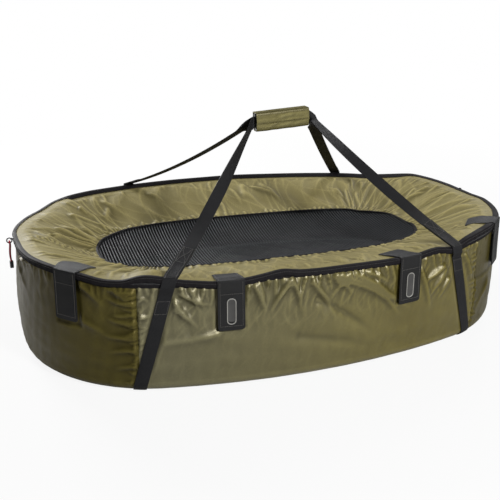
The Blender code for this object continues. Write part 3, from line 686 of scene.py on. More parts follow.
LID_WAVE = Wave(
    front=((-649, 10), (-600, 12), (-540, 8), (-500, 0), (-460, 1), (-425, 15), (-390, 12), (-350, 1),
           (-270, -9), (-200, -6), (-155, 1), (-117, 8), (-78, 0), (-30, -2), (45, -3), (134, -6),
           (229, -9), (269, -3), (300, -2), (345, -14), (388, 4), (438, 10), (495, 11), (550, 7), (620, 4),
           (649, 4)),
    back=((-648, 4), (-610, -3), (-570, -6), (-520, 2), (-466, 4), (-360, 2), (-260, 1), (-150, -1),
          (-40, -3), (70, -4), (180, -8), (287, -11), (397, -14), (496, -12), (560, -2), (607, 10),
          (627, 10), (648, 6)),
)
BAND_WAVE = Wave(
    front=((-649, 9.5), (-600, 11.5), (-540, 7.5), (-500, 0), (-460, 1), (-425, 2), (-390, 1), (-350, 0),
           (-270, -9), (-200, -6), (-155, 0), (-117, 1), (-78, 0), (-30, -2), (45, -3), (134, -6),
           (229, -9), (269, -3), (300, -2), (345, -14), (388, -4), (438, 0), (495, 3), (649, 3)),
    back=((-648, 4), (-610, -3), (-570, -6), (-520, 1), (-466, 3), (-260, 1), (-40, -3), (180, -8),
          (287, -11), (397, -14), (496, -12), (560, -2), (607, 9), (648, 4)),
)


def shoulder(s: Array, inset: Array | float) -> Array:
    """Return how far the mat's margin dips inside its standing back edge.

    Args:
        s: Lengths along the outline.
        inset: How far in from the rim.

    Returns:
        The depths of the dip.
    """
    place = OUTLINE.bare(s, 0.0, 0.0)
    back = smooth((place[..., 0] + 0.485) / 0.02) * smooth((0.63 - place[..., 0]) / 0.05)
    return SHOULDER * back * smooth(place[..., 1] / 0.1) * smooth((inset - 0.002) / 0.014)


def rim_rise(s: Array, inset: Array | float) -> Array:
    """Return how far the wall's top is raised, which is never above the lid that lies on it."""
    return np.minimum(BAND_WAVE.at(s), LID_WAVE.at(s)) - shoulder(s, inset)


@dataclass(frozen=True)
class Levels:
    """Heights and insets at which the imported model's pieces stand."""

    rim: float = 0.266
    base: float = 0.0023
    edge_radius: float = 0.025
    cloth: float = 0.0015
    web: float = 0.002
    gap: float = 0.0003
    cover_inset: float = 0.0018
    foam_inset: float = 0.0036
    liner_inset: float = 0.0339
    band_inset: float = 0.0357
    cover_top: float = 0.2642
    pad: float = 0.0041
    liner: float = 0.0444
    tape: float = 0.2663
    lid: float = 0.2681
    tab_in: float = 0.0049
    slope_inset: float = 0.0387


LEVEL = Levels()


# Folds pressed into a sheet


@dataclass(frozen=True)
class Fold:
    """A crest, or a hollow if its height is negative, along a bowed line on a sheet's map."""

    start: Pair
    end: Pair
    height: float
    width: float
    bow: float = 0.0
    rooted: bool = False

    def lift(self, u: Array, v: Array) -> tuple[Array, Array]:
        """Return which points the fold reaches, and how far it lifts them.

        Args:
            u: First map places, flat.
            v: Second map places, flat.

        Returns:
            The reached points' indices and their lifts.
        """
        a, b = np.array(self.start), np.array(self.end)
        span = b - a
        knee = (a + b) / 2 + np.array([-span[1], span[0]]) * self.bow
        t = np.linspace(0.0, 1.0, FOLD_POINTS)[:, None]
        line = a * (1 - t) ** 2 + knee * 2 * t * (1 - t) + b * t**2
        reach = self.width * FOLD_REACH
        low, high = line.min(0) - reach, line.max(0) + reach
        near = np.flatnonzero((u > low[0]) & (u < high[0]) & (v > low[1]) & (v < high[1]))
        if not len(near):
            return near, np.zeros(0)
        p = np.stack([u[near], v[near]], -1)
        best = np.full(len(near), np.inf)
        along = np.zeros(len(near))
        for i, (c, d) in enumerate(zip(line, line[1:])):
            step = d - c
            share = np.clip(((p - c) @ step) / (step @ step), 0.0, 1.0)
            gap = np.hypot(*(p - c - share[:, None] * step).T)
            closer = gap < best
            best = np.where(closer, gap, best)
            along = np.where(closer, (i + share) / (FOLD_POINTS - 1), along)
        fade = smooth((1 - along) / FOLD_FADE_OUT)
        if not self.rooted:
            fade = fade * smooth(along / FOLD_FADE_IN)
        return near, self.height * fade / np.cosh(best / self.width * FOLD_SHARPNESS)


def press(folds: list[Fold], u: Array, v: Array) -> Array:
    """Return the lift of all folds together on a grid of map places.

    Args:
        folds: The folds.
        u: First map places.
        v: Second map places.

    Returns:
        The lift at each place.
    """
    lift = np.zeros(u.size)
    flat_u, flat_v = u.ravel(), v.ravel()
    for fold in folds:
        near, rise = fold.lift(flat_u, flat_v)
        lift[near] += rise
    return lift.reshape(u.shape)


def ripple(seed: int, u: Array, v: Array, size: float) -> Array:
    """Return a gentle uneven surface from -1 to 1, whose bumps are about one size.

    Args:
        seed: The pattern's seed.
        u: First map places.
        v: Second map places.
        size: The usual size of a bump.

    Returns:
        The surface's height.
    """
    rng = np.random.RandomState(seed)
    total = np.zeros_like(u, dtype=float)
    for _ in range(RIPPLES):
        way = rng.uniform(0, math.pi)
        pitch = size * rng.uniform(0.6, 1.7)
        phase = rng.uniform(0, 2 * math.pi)
        total += np.sin(2 * math.pi * (u * math.cos(way) + v * math.sin(way)) / pitch + phase)
    return total / RIPPLES


def crinkle(seed: int, u: Array, v: Array, pitch: float) -> Array:
    """Return sharp-crested creases from about -1 to 1, which come and go in patches.

    Args:
        seed: The pattern's seed.
        u: First map places, which most of the creases cross.
        v: Second map places.
        pitch: The usual distance between creases.

    Returns:
        The creases' height.
    """
    rng = np.random.RandomState(seed)
    total = np.zeros_like(u, dtype=float)
    for _ in range(CREASES):
        way = rng.normal(0.0, CREASE_SPREAD)
        size = pitch * rng.uniform(0.7, 2.0)
        warp = np.sin(2 * math.pi * v / (size * rng.uniform(2.0, 4.0)) + rng.uniform(0, 6))
        warp = warp + np.sin(2 * math.pi * u / (size * rng.uniform(3.0, 6.0)) + rng.uniform(0, 6))
        phase = math.pi * (u * math.cos(way) + v * math.sin(way)) / size + 0.6 * warp + rng.uniform(0, 6)
        patch = np.sin(2 * math.pi * u / (size * rng.uniform(3, 6)) + rng.uniform(0, 6))
        patch = patch * np.sin(2 * math.pi * v / (size * rng.uniform(2, 5)) + rng.uniform(0, 6))
        total += (1 - 2 * np.abs(np.sin(phase))) * (0.5 + 0.5 * patch)
    return total / CREASE_RANGE


# Sheets and small repeated forms


@dataclass
class Grid:
    """A sheet's middle surface: rows and columns of points, with a UV place for each."""

    points: Array
    uv: Array
    wrap: bool = False

    def normals(self) -> Array:
        """Return the surface's unit normals.

        Returns:
            One normal a point.
        """
        if self.wrap:
            across = np.roll(self.points, -1, 1) - np.roll(self.points, 1, 1)
        else:
            across = np.gradient(self.points, axis=1)
        normal = np.cross(across, np.gradient(self.points, axis=0))
        size = np.linalg.norm(normal, axis=-1, keepdims=True)
        return normal / np.maximum(size, 1e-12)

    def crests(self) -> Array:
        """Return how sharply the surface bends outwards at each point, from -1 to 1.

        Returns:
            One value a point.
        """
        normal = self.normals()
        bend = np.zeros(self.points.shape[:2])
        for axis in (0, 1):
            before, after = np.roll(self.points, 1, axis), np.roll(self.points, -1, axis)
            reach = np.maximum(((after - before) ** 2).sum(-1) / 4, 1e-7)
            turn = ((2 * self.points - before - after) * normal).sum(-1) / reach
            if axis == 0 or not self.wrap:
                turn = np.where(np.indices(turn.shape)[axis] % (turn.shape[axis] - 1) == 0, 0.0, turn)
            bend += turn
        return np.tanh(bend / CREST_BEND)

    def sheet(self, name: str, thickness: float, finish: ClothFinish) -> Piece:
        """Return a closed sheet of a thickness about the surface.

        Args:
            name: The object's name.
            thickness: The sheet's thickness.
            finish: Its finish.

        Returns:
            The new object, with its place in its mesh.
        """
        rows, columns = self.points.shape[:2]
        lift = self.normals() * thickness / 2
        skins = np.concatenate([(self.points + lift).reshape(-1, 3), (self.points - lift).reshape(-1, 3)])
        count = rows * columns
        here = np.arange(count).reshape(rows, columns)
        wide = columns + 1 if self.wrap else columns
        flat = np.arange(rows * wide).reshape(rows, wide)
        ring = np.concatenate([here, here[:, :1]], 1) if self.wrap else here
        faces, maps = [], []

        def quads(a: Array, ua: Array) -> None:
            """Add faces from the points and UV places at their four corners."""
            faces.append(a.reshape(-1, 4))
            maps.append(ua.reshape(-1, 4))

        def corners(grid: Array) -> Array:
            """Return the four corners of each cell of a grid."""
            return np.stack([grid[:-1, :-1], grid[:-1, 1:], grid[1:, 1:], grid[1:, :-1]], -1)

        quads(corners(ring), corners(flat))
        quads(corners(ring)[..., ::-1] + count, corners(flat)[..., ::-1])
        for row, way in ((0, 1), (rows - 1, -1)):
            a, b = ring[row, :-1], ring[row, 1:]
            ua, ub = flat[row, :-1], flat[row, 1:]
            edge = np.stack([a, a + count, b + count, b], -1)[:, ::way]
            quads(edge, np.stack([ua, ua, ub, ub], -1)[:, ::way])
        if not self.wrap:
            for column, way in ((0, 1), (columns - 1, -1)):
                a, b = here[:-1, column], here[1:, column]
                ua, ub = flat[:-1, column], flat[1:, column]
                edge = np.stack([a, b, b + count, a + count], -1)[:, ::way]
                quads(edge, np.stack([ua, ub, ub, ua], -1)[:, ::way])
        uv = self.uv.reshape(-1, 2)
        piece = solid(name, skins, np.concatenate(faces), uv, np.concatenate(maps), finish)
        # Store the bends as the crest attribute, from which the finish paints light on crests and shade in
        # hollows.
        if finish.crumple:
            crest = piece.data.attributes.new("crest", "FLOAT", "POINT")
            crest.data.foreach_set("value", np.tile(self.crests().ravel(), 2).astype(np.float32))
        return piece


def solid(name: str, points: Array, faces: Array, uv: Array, maps: Array,
          finish: ClothFinish | HardFinish) -> Piece:
    """Return an object from points and four-sided faces.

    Args:
        name: The object's name.
        points: The vertices.
        faces: Four indices a face.
        uv: The UV places.
        maps: Four UV indices a face.
        finish: The object's finish.

    Returns:
        The new object.
    """
    data = bpy.data.meshes.new(name)
    data.from_pydata(points.tolist(), [], faces.tolist())
    layer = data.uv_layers.new(name="UVMap")
    layer.data.foreach_set("uv", uv[maps.ravel()].astype(np.float32).ravel())
    data.materials.append(Finishes.get(finish))
    data.shade_smooth()
    data.set_sharp_from_angle(angle=SHARP_ANGLE)
    data.validate()
    piece = bpy.data.objects.new(name, data)
    bpy.context.scene.collection.objects.link(piece)
    return piece


@dataclass(frozen=True)
class Frames:
    """Places with three axes each, on which a small form is repeated."""

    places: Array
    along: Array
    across: Array
    up: Array

    @staticmethod
    def on_path(path: Array, up: Array, pitch: float) -> "Frames":
        """Return frames at even steps along a path.

        Args:
            path: The path's points.
            up: The direction away from the cloth at each point.
            pitch: The distance from one frame to the next.

        Returns:
            The frames.
        """
        run = running(step_lengths(path))
        count = max(int(run[-1] / pitch), 1)
        at = (np.arange(count) + 0.5) * run[-1] / count
        places = at_run(at, run, path)
        along = at_run(at + pitch * 0.2, run, path) - at_run(at - pitch * 0.2, run, path)
        along /= np.linalg.norm(along, axis=1, keepdims=True)
        across = np.cross(at_run(at, run, up), along)
        across /= np.linalg.norm(across, axis=1, keepdims=True)
        return Frames(places, along, across, np.cross(along, across))

    def repeat(self, name: str, form: Array, faces: Array, finish: ClothFinish | HardFinish) -> Piece:
        """Return one object with the form at each frame.

        Args:
            name: The object's name.
            form: The form's points along, across and up.
            faces: The form's four-sided faces.
            finish: The object's finish.

        Returns:
            The new object.
        """
        axes = np.stack([self.along, self.across, self.up], 1)
        points = self.places[:, None, :] + np.einsum("pk,nkc->npc", form, axes)
        count = len(self.places)
        moved = faces[None] + (np.arange(count) * len(form))[:, None, None]
        uv = np.tile(form[:, :2], (count, 1))
        moved = moved.reshape(-1, 4)
        return solid(name, points.reshape(-1, 3), moved, uv, moved, finish)


def capsule(length: float, radius: float) -> tuple[Array, Array]:
    """Return a stitch or tooth: a short round bar with tapered ends.

    Args:
        length: The whole length.
        radius: The radius of the middle.

    Returns:
        Its points along, across and up, and its faces.
    """
    sides = BAR_SIDES
    stations = np.array([(-0.5, 0.3), (-0.36, 0.9), (0.0, 1.0), (0.36, 0.9), (0.5, 0.3)])
    turn = 2 * math.pi * np.arange(sides) / sides
    place, size = np.repeat(stations, sides, 0).T
    ring = np.tile(np.stack([np.cos(turn), np.sin(turn)], -1) * radius, (len(stations), 1))
    points = np.concatenate([place[:, None] * length, ring * size[:, None]], 1)
    here = np.arange(len(stations) - 1)[:, None] * sides + np.arange(sides)
    after = np.arange(len(stations) - 1)[:, None] * sides + (np.arange(sides) + 1) % sides
    walls = np.stack([here, here + sides, after + sides, after], -1).reshape(-1, 4)
    near = np.array([(0, 1, 2, 3), (0, 3, 4, 5)])
    far = (len(stations) - 1) * sides + near[:, ::-1]
    return points, np.concatenate([walls, near, far])


def place_piece(piece: Piece, body: str, nodes: tuple[str, ...] = ()) -> None:
    """Put a piece on its body and hide the nodes it stands for.

    Args:
        piece: The piece.
        body: The body that it moves with.
        nodes: The nodes that it stands for.
    """
    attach(piece, body)
    if nodes:
        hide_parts(*nodes)
    LOG.info("%s on %s, %d faces", piece.name, body, len(piece.data.polygons))


def sew(name: str, paths: list[tuple[Array, Array]], finish: ClothFinish, size: Triple, body: str) -> None:
    """Make a row of stitches along each path, as one piece.

    Args:
        name: The piece's name.
        paths: Each path's points, with the direction away from the cloth at each.
        finish: The thread's finish.
        size: The stitches' pitch, length and radius.
        body: The body that they move with.
    """
    pitch, length, radius = size
    rows = [Frames.on_path(path, up, pitch) for path, up in paths]
    parts = ("places", "along", "across", "up")
    joined = Frames(*(np.concatenate([getattr(row, part) for row in rows]) for part in parts))
    place_piece(joined.repeat(name, *capsule(length, radius), finish), body)


# Studio


@dataclass
class Studio:
    """The floor, lamps, background and camera."""

    eye: Triple = (-0.7932, -1.99278, 0.94162)
    forward: Triple = (0.3344, 0.8789, -0.3402)
    focal: float = 60.05
    sensor: float = 36.0
    floor_size: float = 14.0
    floor_colour: Triple = (0.52, 0.52, 0.52)
    lamps: tuple[tuple[str, Triple, Triple, float, float], ...] = (
        ("key", (0.45, -2.6, 1.8), (0.0, 0.0, 0.15), 0.5, 104.0),
        ("back", (-1.15, 2.6, 1.45), (0.0, 0.0, 0.15), 1.1, 150.0),
        ("side", (2.2, 1.5, 1.8), (-0.1, 0.0, 0.2), 0.6, 32.0),
    )

    def build(self) -> None:
        """Make the whole studio."""
        self.make_camera()
        self.make_floor()
        self.make_lamps()
        self.make_world()
        bpy.context.scene.view_settings.view_transform = "Standard"

    def make_camera(self) -> None:
        """Stand the camera where the photograph was taken from."""
        data = bpy.data.cameras.new("camera")
        data.lens = self.focal
        data.sensor_width = self.sensor
        data.sensor_fit = "HORIZONTAL"
        bpy.context.scene.camera = self.stand("camera", data, self.eye, Vector(self.forward))

    @staticmethod
    def stand(name: str, data: bpy.types.ID, place: Triple, way: Vector) -> Piece:
        """Stand a camera or lamp at a place, turned along a way.

        Args:
            name: The object's name.
            data: The camera or lamp.
            place: Where it stands.
            way: Where it looks.

        Returns:
            The new object.
        """
        item = bpy.data.objects.new(name, data)
        item.location = place
        item.rotation_euler = way.to_track_quat("-Z", "Y").to_euler()
        bpy.context.scene.collection.objects.link(item)
        return item

    def make_floor(self) -> None:
        """Lay the pale floor, which the camera sees as nearly white with the mat's shadow."""
        bpy.ops.object.select_all(action="DESELECT")
        bpy.ops.mesh.primitive_grid_add(x_subdivisions=8, y_subdivisions=8, size=self.floor_size)
        floor = bpy.context.object
        floor.name = "floor"
        tree = Tree(bpy.data.materials.new("pale_floor"))
        tree.shade({"Base Color": (*self.floor_colour, 1.0), "Roughness": 0.9, "Specular IOR Level": 0.1})
        glow = tree.add("Emission", in_0=(1.0, 1.0, 1.0, 1.0))
        away = tree.add("VectorMath", operation="LENGTH", in_0=tree.add("TexCoord").outputs["Object"])
        far = tree.add("MapRange", in_0=away.outputs["Value"], in_1=0.9, in_2=2.4, in_3=0.9, in_4=1.0)
        share = tree.math("MULTIPLY", tree.seen(), far.outputs[0])
        blend = tree.add("MixShader", in_0=share, in_1=tree.shader.outputs[0], in_2=glow.outputs[0])
        tree.links.new(blend.outputs[0], tree.nodes["Material Output"].inputs[0])
        floor.data.materials.append(tree.owner)

    def make_lamps(self) -> None:
        """Hang the soft square lamps."""
        for name, place, target, size, power in self.lamps:
            data = bpy.data.lights.new(name, "AREA")
            data.shape = "SQUARE"
            data.size = size
            data.energy = power
            self.stand(name, data, place, Vector(target) - Vector(place))

    def make_world(self) -> None:
        """Light the world softly, white where the camera sees it."""
        world = bpy.data.worlds.new("studio")
        bpy.context.scene.world = world
        tree = Tree(world)
        tree.nodes.clear()
        soft = tree.add("Background", in_0=(1.0, 0.98, 0.94, 1.0), in_1=0.07)
        white = tree.add("Background", in_0=(1.0, 1.0, 1.0, 1.0), in_1=1.0)
        blend = tree.add("MixShader", in_0=tree.seen(), in_1=soft.outputs[0], in_2=white.outputs[0])
        tree.add("OutputWorld", in_0=blend.outputs[0])


# The tub


FRONT_FOLDS: tuple[tuple[float, ...], ...] = (
    (2549, 250, 2578, 171, 5, 9, 0.05), (2628, 246, 2581, 168, 4.8, 9, -0.08),
    (2637, 246, 2659, 167, 4.6, 8, 0.1), (2665, 246, 2655, 180, 3.5, 7, -0.1),
    (2739, 248, 2790, 193, 4.5, 9, 0.1), (2772, 248, 2728, 189, 4, 9, -0.1),
    (2753, 243, 2966, 114, 6.2, 14, 0.12), (2790, 249, 2910, 156, 4.5, 9, 0.1),
    (2685, 240, 2747, 136, 4, 11, 0.1), (2703, 193, 2857, 81, -3.5, 18, 0.06),
    (2820, 250, 2897, 203, 3.6, 8, 0.1), (2840, 213, 2923, 112, 3.4, 10, 0.05),
    (2975, 230, 3017, 104, 4, 9, 0.05), (3048, 224, 2979, 187, 4.6, 8, 0.1),
    (3055, 214, 2997, 139, 3.6, 8, 0.1), (3069, 185, 3036, 131, 3.4, 7, 0.0),
    (3123, 236, 3162, 143, 4, 7, 0.05), (3114, 202, 3141, 142, 2.8, 6, 0.0),
    (2369, 224, 2398, 169, 4, 9, 0.1), (2364, 236, 2332, 182, 2.4, 7, 0.0),
    (2387, 242, 2459, 217, 4, 9, -0.15), (2376, 204, 2425, 152, 3, 10, 0.1),
    (2406, 250, 2441, 199, 2.8, 8, 0.1), (2530, 248, 2534, 190, 2.8, 8, 0.0),
    (2462, 141, 2396, 138, 2.4, 12, 0.1), (2656, 109, 2889, 39, -2.2, 24, 0.05),
    (2337, 126, 2500, 129, 2.2, 18, 0.05),
)
LEFT_FOLDS: tuple[tuple[float, ...], ...] = (
    (2288, 246, 2234, 252, 4, 9, 0.1), (2287, 236, 2244, 238, 3.4, 8, 0.1),
    (2288, 218, 2209, 236, 4, 10, 0.1), (2288, 198, 2229, 191, 3.4, 9, 0.1),
    (2286, 175, 2213, 186, 3.6, 10, 0.1), (2285, 143, 2203, 144, 3.6, 11, 0.1),
    (2283, 110, 2216, 97, 3, 10, -0.1), (2279, 69, 2229, 57, 2.4, 10, -0.1),
    (2161, 250, 2222, 202, 3.4, 14, 0.1), (2233, 252, 2283, 230, 2.8, 10, 0.0),
    (1930, 250, 2040, 255, 3.4, 9, 0.1), (1894, 225, 1975, 169, 2.8, 12, 0.1),
    (2154, 169, 2226, 139, 2.4, 14, 0.1),
)


@dataclass
class StrapLine:
    """Where one strap runs down the wall."""

    side: Side
    back: bool
    width: float = WEB_WIDTH
    spacing_top: float = 0.738
    spacing_base: float = 0.862
    spacing_back: float = 0.815
    shift_front: float = -0.009
    shift_back: float = 0.0635
    stitch: float = 0.229

    @property
    def lean(self) -> float:
        """Return how far the strap leans for each metre that it rises."""
        return (self.spacing_base - self.spacing_top) / 2 / self.stitch

    def middle(self, z: float) -> float:
        """Return the length along the outline of the strap's middle at a height.

        Args:
            z: The height.

        Returns:
            The length along the outline.
        """
        spacing = self.spacing_back if self.back else self.spacing_base
        shift = self.shift_back if self.back else self.shift_front
        return OUTLINE.at_x(self.side.value * (spacing / 2 - self.lean * z) + shift, self.back)

    def row(self, inset: float, z: float, shares: Array) -> Array:
        """Return the points across the strap at one height.

        Args:
            inset: How far in from the rim the row lies.
            z: The row's height.
            shares: Places across the strap, from -0.5 to 0.5.

        Returns:
            One point a share.
        """
        wide = self.width * math.hypot(1.0, self.lean)
        return OUTLINE.place(self.middle(z) + wide * shares, inset, z)

    @property
    def word(self) -> str:
        """Return the strap's name."""
        return f"{'back' if self.back else 'front'}_{self.side.word}"


STRAPS = tuple(StrapLine(side, back) for back in (False, True) for side in Side)


@dataclass(frozen=True)
class TabSpot:
    """Where a hook-and-loop tab stands, and the two sides of its root on the lid."""

    name: str
    x: float
    left: tuple[Pair, ...]
    right: tuple[Pair, ...]
    badge: bool = False
    half: float = 0.0305
    hang: float = 0.115

    @property
    def s(self) -> float:
        """Return the tab's length along the outline."""
        return OUTLINE.at_x(self.x)

    @property
    def wave(self) -> float:
        """Return how far the lid's edge rises here."""
        return float(LID_WAVE.at(self.s))

    @property
    def foot(self) -> float:
        """Return the height of the tab's foot."""
        return 0.2714 + self.wave - self.hang


TABS = (
    TabSpot("left_corner", -0.5668, ((-0.0305, 0.0), (-0.044, 0.03), (-0.032, 0.068)),
            ((0.0305, 0.0), (0.0305, 0.01), (0.034, 0.062))),
    TabSpot("front_left", -0.2353, ((-0.0305, 0.0), (-0.034, 0.044)), ((0.0305, 0.0), (0.022, 0.038)), True),
    TabSpot("front_right", 0.2093, ((-0.0305, 0.0), (-0.061, 0.041)),
            ((0.0305, 0.0), (0.022, 0.01), (0.009, 0.056)), True),
    TabSpot("right_end", 0.5343, ((-0.0305, 0.0), (-0.046, 0.012), (-0.062, 0.062)),
            ((0.0305, 0.0), (0.03, 0.02), (0.022, 0.074))),
)


@dataclass
class Tub:
    """The padded tub: wall panels, foams, liner, rim band, lower zip teeth, patches and sewn webbing."""

    step: float = 0.0034
    crinkled: float = 0.0022
    wall_bulge: float = 0.0035
    gather: float = 0.0034
    gather_top: float = 0.2585
    fold_share: float = 2.3
    rng: np.random.RandomState = field(default_factory=lambda: np.random.RandomState(11))

    def build(self) -> None:
        """Make and place every piece of the tub."""
        self.seams = self.seam_lengths()
        for panel in Panel:
            self.make_cover(panel)
            self.make_wall_foam(panel)
        self.make_seam_stitches()
        self.make_base()
        self.make_floor_pad()
        self.make_liner()
        self.make_band()
        zip_row(LEVEL.rim - ZIP_HALF, "tub")
        self.make_patches()
        self.make_wall_straps()

    def seam_lengths(self) -> dict[Panel, Pair]:
        """Return where each panel begins and ends along the outline.

        Returns:
            Two lengths a panel.
        """
        back_right, back_left = OUTLINE.at_x(SEAM_X, True), OUTLINE.at_x(-SEAM_X, True)
        front_left, front_right = OUTLINE.at_x(-SEAM_X), OUTLINE.at_x(SEAM_X)
        return {
            Panel.RIGHT: (front_right - OUTLINE.total, back_right),
            Panel.BACK: (back_right, back_left),
            Panel.LEFT: (back_left, front_left),
            Panel.FRONT: (front_left, front_right),
        }

    def profile(self) -> tuple[Array, Array, Array]:
        """Return the wall's line from its top to under its base.

        Returns:
            The insets, the heights and how much each point faces outward.
        """
        radius = LEVEL.edge_radius
        top = np.arange(LEVEL.cover_top, LEVEL.base + radius, -self.step)
        turn = np.linspace(0.0, math.pi / 2, 9)
        inset = LEVEL.cover_inset + LEVEL.cloth / 2
        bend = radius - LEVEL.cloth / 2
        low = LEVEL.base + radius
        insets = np.concatenate([np.full(len(top), inset), inset + bend * (1 - np.cos(turn))])
        heights = np.concatenate([top, low - bend * np.sin(turn)])
        return insets, heights, np.concatenate([np.ones(len(top)), np.cos(turn)])

    def keep_off(self, s: Array, z: Array) -> Array:
        """Return how free the cloth is to stand out: 0 under straps and tabs, 1 elsewhere.

        Args:
            s: Lengths along the outline.
            z: The heights.

        Returns:
            A share at each place.
        """
        free = np.ones_like(s)
        for strap in STRAPS:
            table = np.linspace(0.0, LEVEL.rim, 12)
            middles = np.array([strap.middle(float(h)) for h in table])
            free *= smooth((OUTLINE.apart(s, np.interp(z, table, middles)) - 0.0155) / 0.01)
        for tab in TABS:
            covered = (1 - smooth((OUTLINE.apart(s, tab.s) - 0.029) / 0.012)) * smooth((z - 0.145) / 0.012)
            free *= 1 - covered
        return free

    def folds_of(self, panel: Panel, first: float, last: float) -> list[Fold]:
        """Return the panel's folds: gathers under the band, puckers at its seams and long creases.

        Args:
            panel: The panel.
            first: Where it begins along the outline.
            last: Where it ends.

        Returns:
            The folds.
        """
        draw = self.rng.uniform
        folds = []
        s = first + 0.008
        while s < last - 0.006:
            length = draw(0.014, 0.05) * (1.6 if self.rng.rand() < 0.2 else 1.0)
            lean = draw(-0.35, 0.35) * length
            height = self.gather * draw(0.55, 1.15) * (0.4 if panel is Panel.LEFT else 1.0)
            folds.append(Fold((s, self.gather_top), (s + lean, self.gather_top - length), height,
                              draw(0.0045, 0.0075), draw(-0.12, 0.12), True))
            s += draw(0.012, 0.022)
        for seam, way in ((first, 1), (last, -1)):
            z = 0.235
            while z > 0.03:
                length = draw(0.012, 0.04)
                folds.append(Fold((seam, z), (seam + way * length, z + draw(-0.014, 0.014)),
                                  draw(0.001, 0.0026), draw(0.004, 0.007), 0.1, True))
                z -= draw(0.009, 0.018)
        given = {Panel.FRONT: FRONT_FOLDS, Panel.LEFT: LEFT_FOLDS}.get(panel, ())
        for *sizes, bow in given:
            a, b, c, d, height, width = (size / MM for size in sizes)
            folds.append(Fold((a, b), (c, d), height, width, bow, True))
        if not given:
            folds += self.loose_creases(first, last, 26 if panel is Panel.BACK else 14)
        return folds

    def loose_creases(self, first: float, last: float, count: int) -> list[Fold]:
        """Return creases at seeded places, which run down and aside.

        Args:
            first: Where the panel begins.
            last: Where it ends.
            count: How many creases.

        Returns:
            The creases.
        """
        draw = self.rng.uniform
        folds = []
        for _ in range(count):
            s = draw(first + 0.03, last - 0.03)
            z = draw(0.145, 0.235)
            run = draw(0.03, 0.11)
            way = self.rng.choice((-1, 1))
            folds.append(Fold((s, z), (s + way * run * 0.8, z - run * draw(0.2, 0.9)),
                              draw(0.0016, 0.0042), draw(0.007, 0.013), draw(-0.15, 0.15)))
        return folds

    def make_cover(self, panel: Panel) -> None:
        """Make one wall panel: a gathered sheet from the band down round the base edge.

        Args:
            panel: The panel.
        """
        first, last = self.seams[panel]
        slack = LEVEL.gap / 2
        count = int((last - first) / self.step) + 1
        s = np.linspace(first + slack, last - slack, count)
        insets, heights, facing = self.profile()
        grid_s, grid_z = np.meshgrid(s, heights)
        base = OUTLINE.place(grid_s, insets[:, None], grid_z)
        lift = self.fold_share * press(self.folds_of(panel, first, last), grid_s, grid_z)
        lift += 0.0011 * ripple(3 + len(panel.value), grid_s, grid_z, 0.05)
        slack_share = 0.1 + 0.9 * smooth((grid_z - 0.12) / 0.09)
        slack_share *= 0.35 if panel is Panel.LEFT else 1.0
        lift += self.crinkled * slack_share * crinkle(60 + len(panel.value), grid_s, grid_z, 0.03)
        rise = smooth((grid_z - 0.03) / 0.05)
        lift += self.wall_bulge * np.sin(math.pi * np.clip(grid_z / LEVEL.rim, 0, 1)) * rise
        free = self.keep_off(grid_s, grid_z)
        under_band = smooth((0.2605 - grid_z) / 0.006)
        seam_pull = np.minimum(smooth((grid_s - first) / 0.006), smooth((last - grid_s) / 0.006))
        lift = np.where(lift > 0, lift * free, np.maximum(lift, -0.0035))
        lift = np.minimum(lift, 0.011) * under_band * (0.25 + 0.75 * seam_pull) * facing[:, None]
        lift -= 0.0012 * (1 - seam_pull) * facing[:, None]
        points = base + OUTLINE.normal(grid_s) * lift[..., None]
        points[..., 2] += BAND_WAVE.at(grid_s) * high_up(grid_z)
        along = running(np.hypot(np.diff(insets), np.diff(heights)))
        uv = np.stack([grid_s, np.broadcast_to(along[:, None], grid_s.shape)], -1)
        grid = Grid(points[::-1], uv[::-1])
        # The end panels take the darker copy of the olive cloth, which paints shade on them.
        finish = Finishes.OLIVE_END if panel in (Panel.LEFT, Panel.RIGHT) else Finishes.OLIVE
        cover = grid.sheet(f"cover_{panel.value}", LEVEL.cloth, finish)
        place_piece(cover, "tub", (f"outer_cover_{panel.value}",))

    def make_wall_foam(self, panel: Panel) -> None:
        """Make one wall panel's foam: a slab with softened edges inside the cloth.

        Args:
            panel: The panel.
        """
        first, last = self.seams[panel]
        count = max(int((last - first) / 0.016), 8)
        s = np.linspace(first + 0.001, last - 0.001, count)
        ends = np.minimum(smooth((s - first) / 0.02), smooth((last - s) / 0.02))
        middle = LEVEL.foam_inset + 0.017
        heights = np.linspace(LEVEL.cover_top - 0.002, LEVEL.pad + 0.004, 22)
        grid_s, grid_z = np.meshgrid(s, heights)
        tuck = 0.01 * (1 - smooth((grid_z - LEVEL.pad) / 0.03))
        points = OUTLINE.place(grid_s, middle + tuck, grid_z)
        points[..., 2] += rim_rise(grid_s, 0.012) * high_up(grid_z)
        lift = 0.001 * ripple(21, grid_s, grid_z, 0.09) * ends
        points += OUTLINE.normal(grid_s) * lift[..., None]
        uv = np.stack([grid_s, grid_z], -1)
        foam = Grid(points[::-1], uv[::-1]).sheet(f"wall_foam_{panel.value}_pad", 0.0235, Finishes.FOAM)
        soften(foam)
        place_piece(foam, "tub", (f"wall_foam_{panel.value}",))

    def make_seam_stitches(self) -> None:
        """Sew a line of stitches beside each wall seam."""
        paths = []
        for first, _ in self.seams.values():
            for way in (-1, 1):
                heights = np.linspace(0.244, 0.03, 60)
                s = np.full(60, first + way * 0.0042)
                path = OUTLINE.place(s, LEVEL.cover_inset - 0.0008, heights)
                path[:, 2] += BAND_WAVE.at(s) * high_up(heights)
                paths.append((path, OUTLINE.normal(s)))
        sew("wall_seam_stitches", paths, Finishes.OLIVE_THREAD, SEAM_STITCH, "tub")

    def make_base(self) -> None:
        """Make the cloth under the mat."""
        inset = LEVEL.cover_inset + LEVEL.edge_radius + LEVEL.gap
        plate = disc("base_sheet", inset, LEVEL.base + LEVEL.cloth / 2, LEVEL.cloth, Finishes.OLIVE, 0.0)
        place_piece(plate, "tub", ("base_cloth",))
        disc_area(inset)

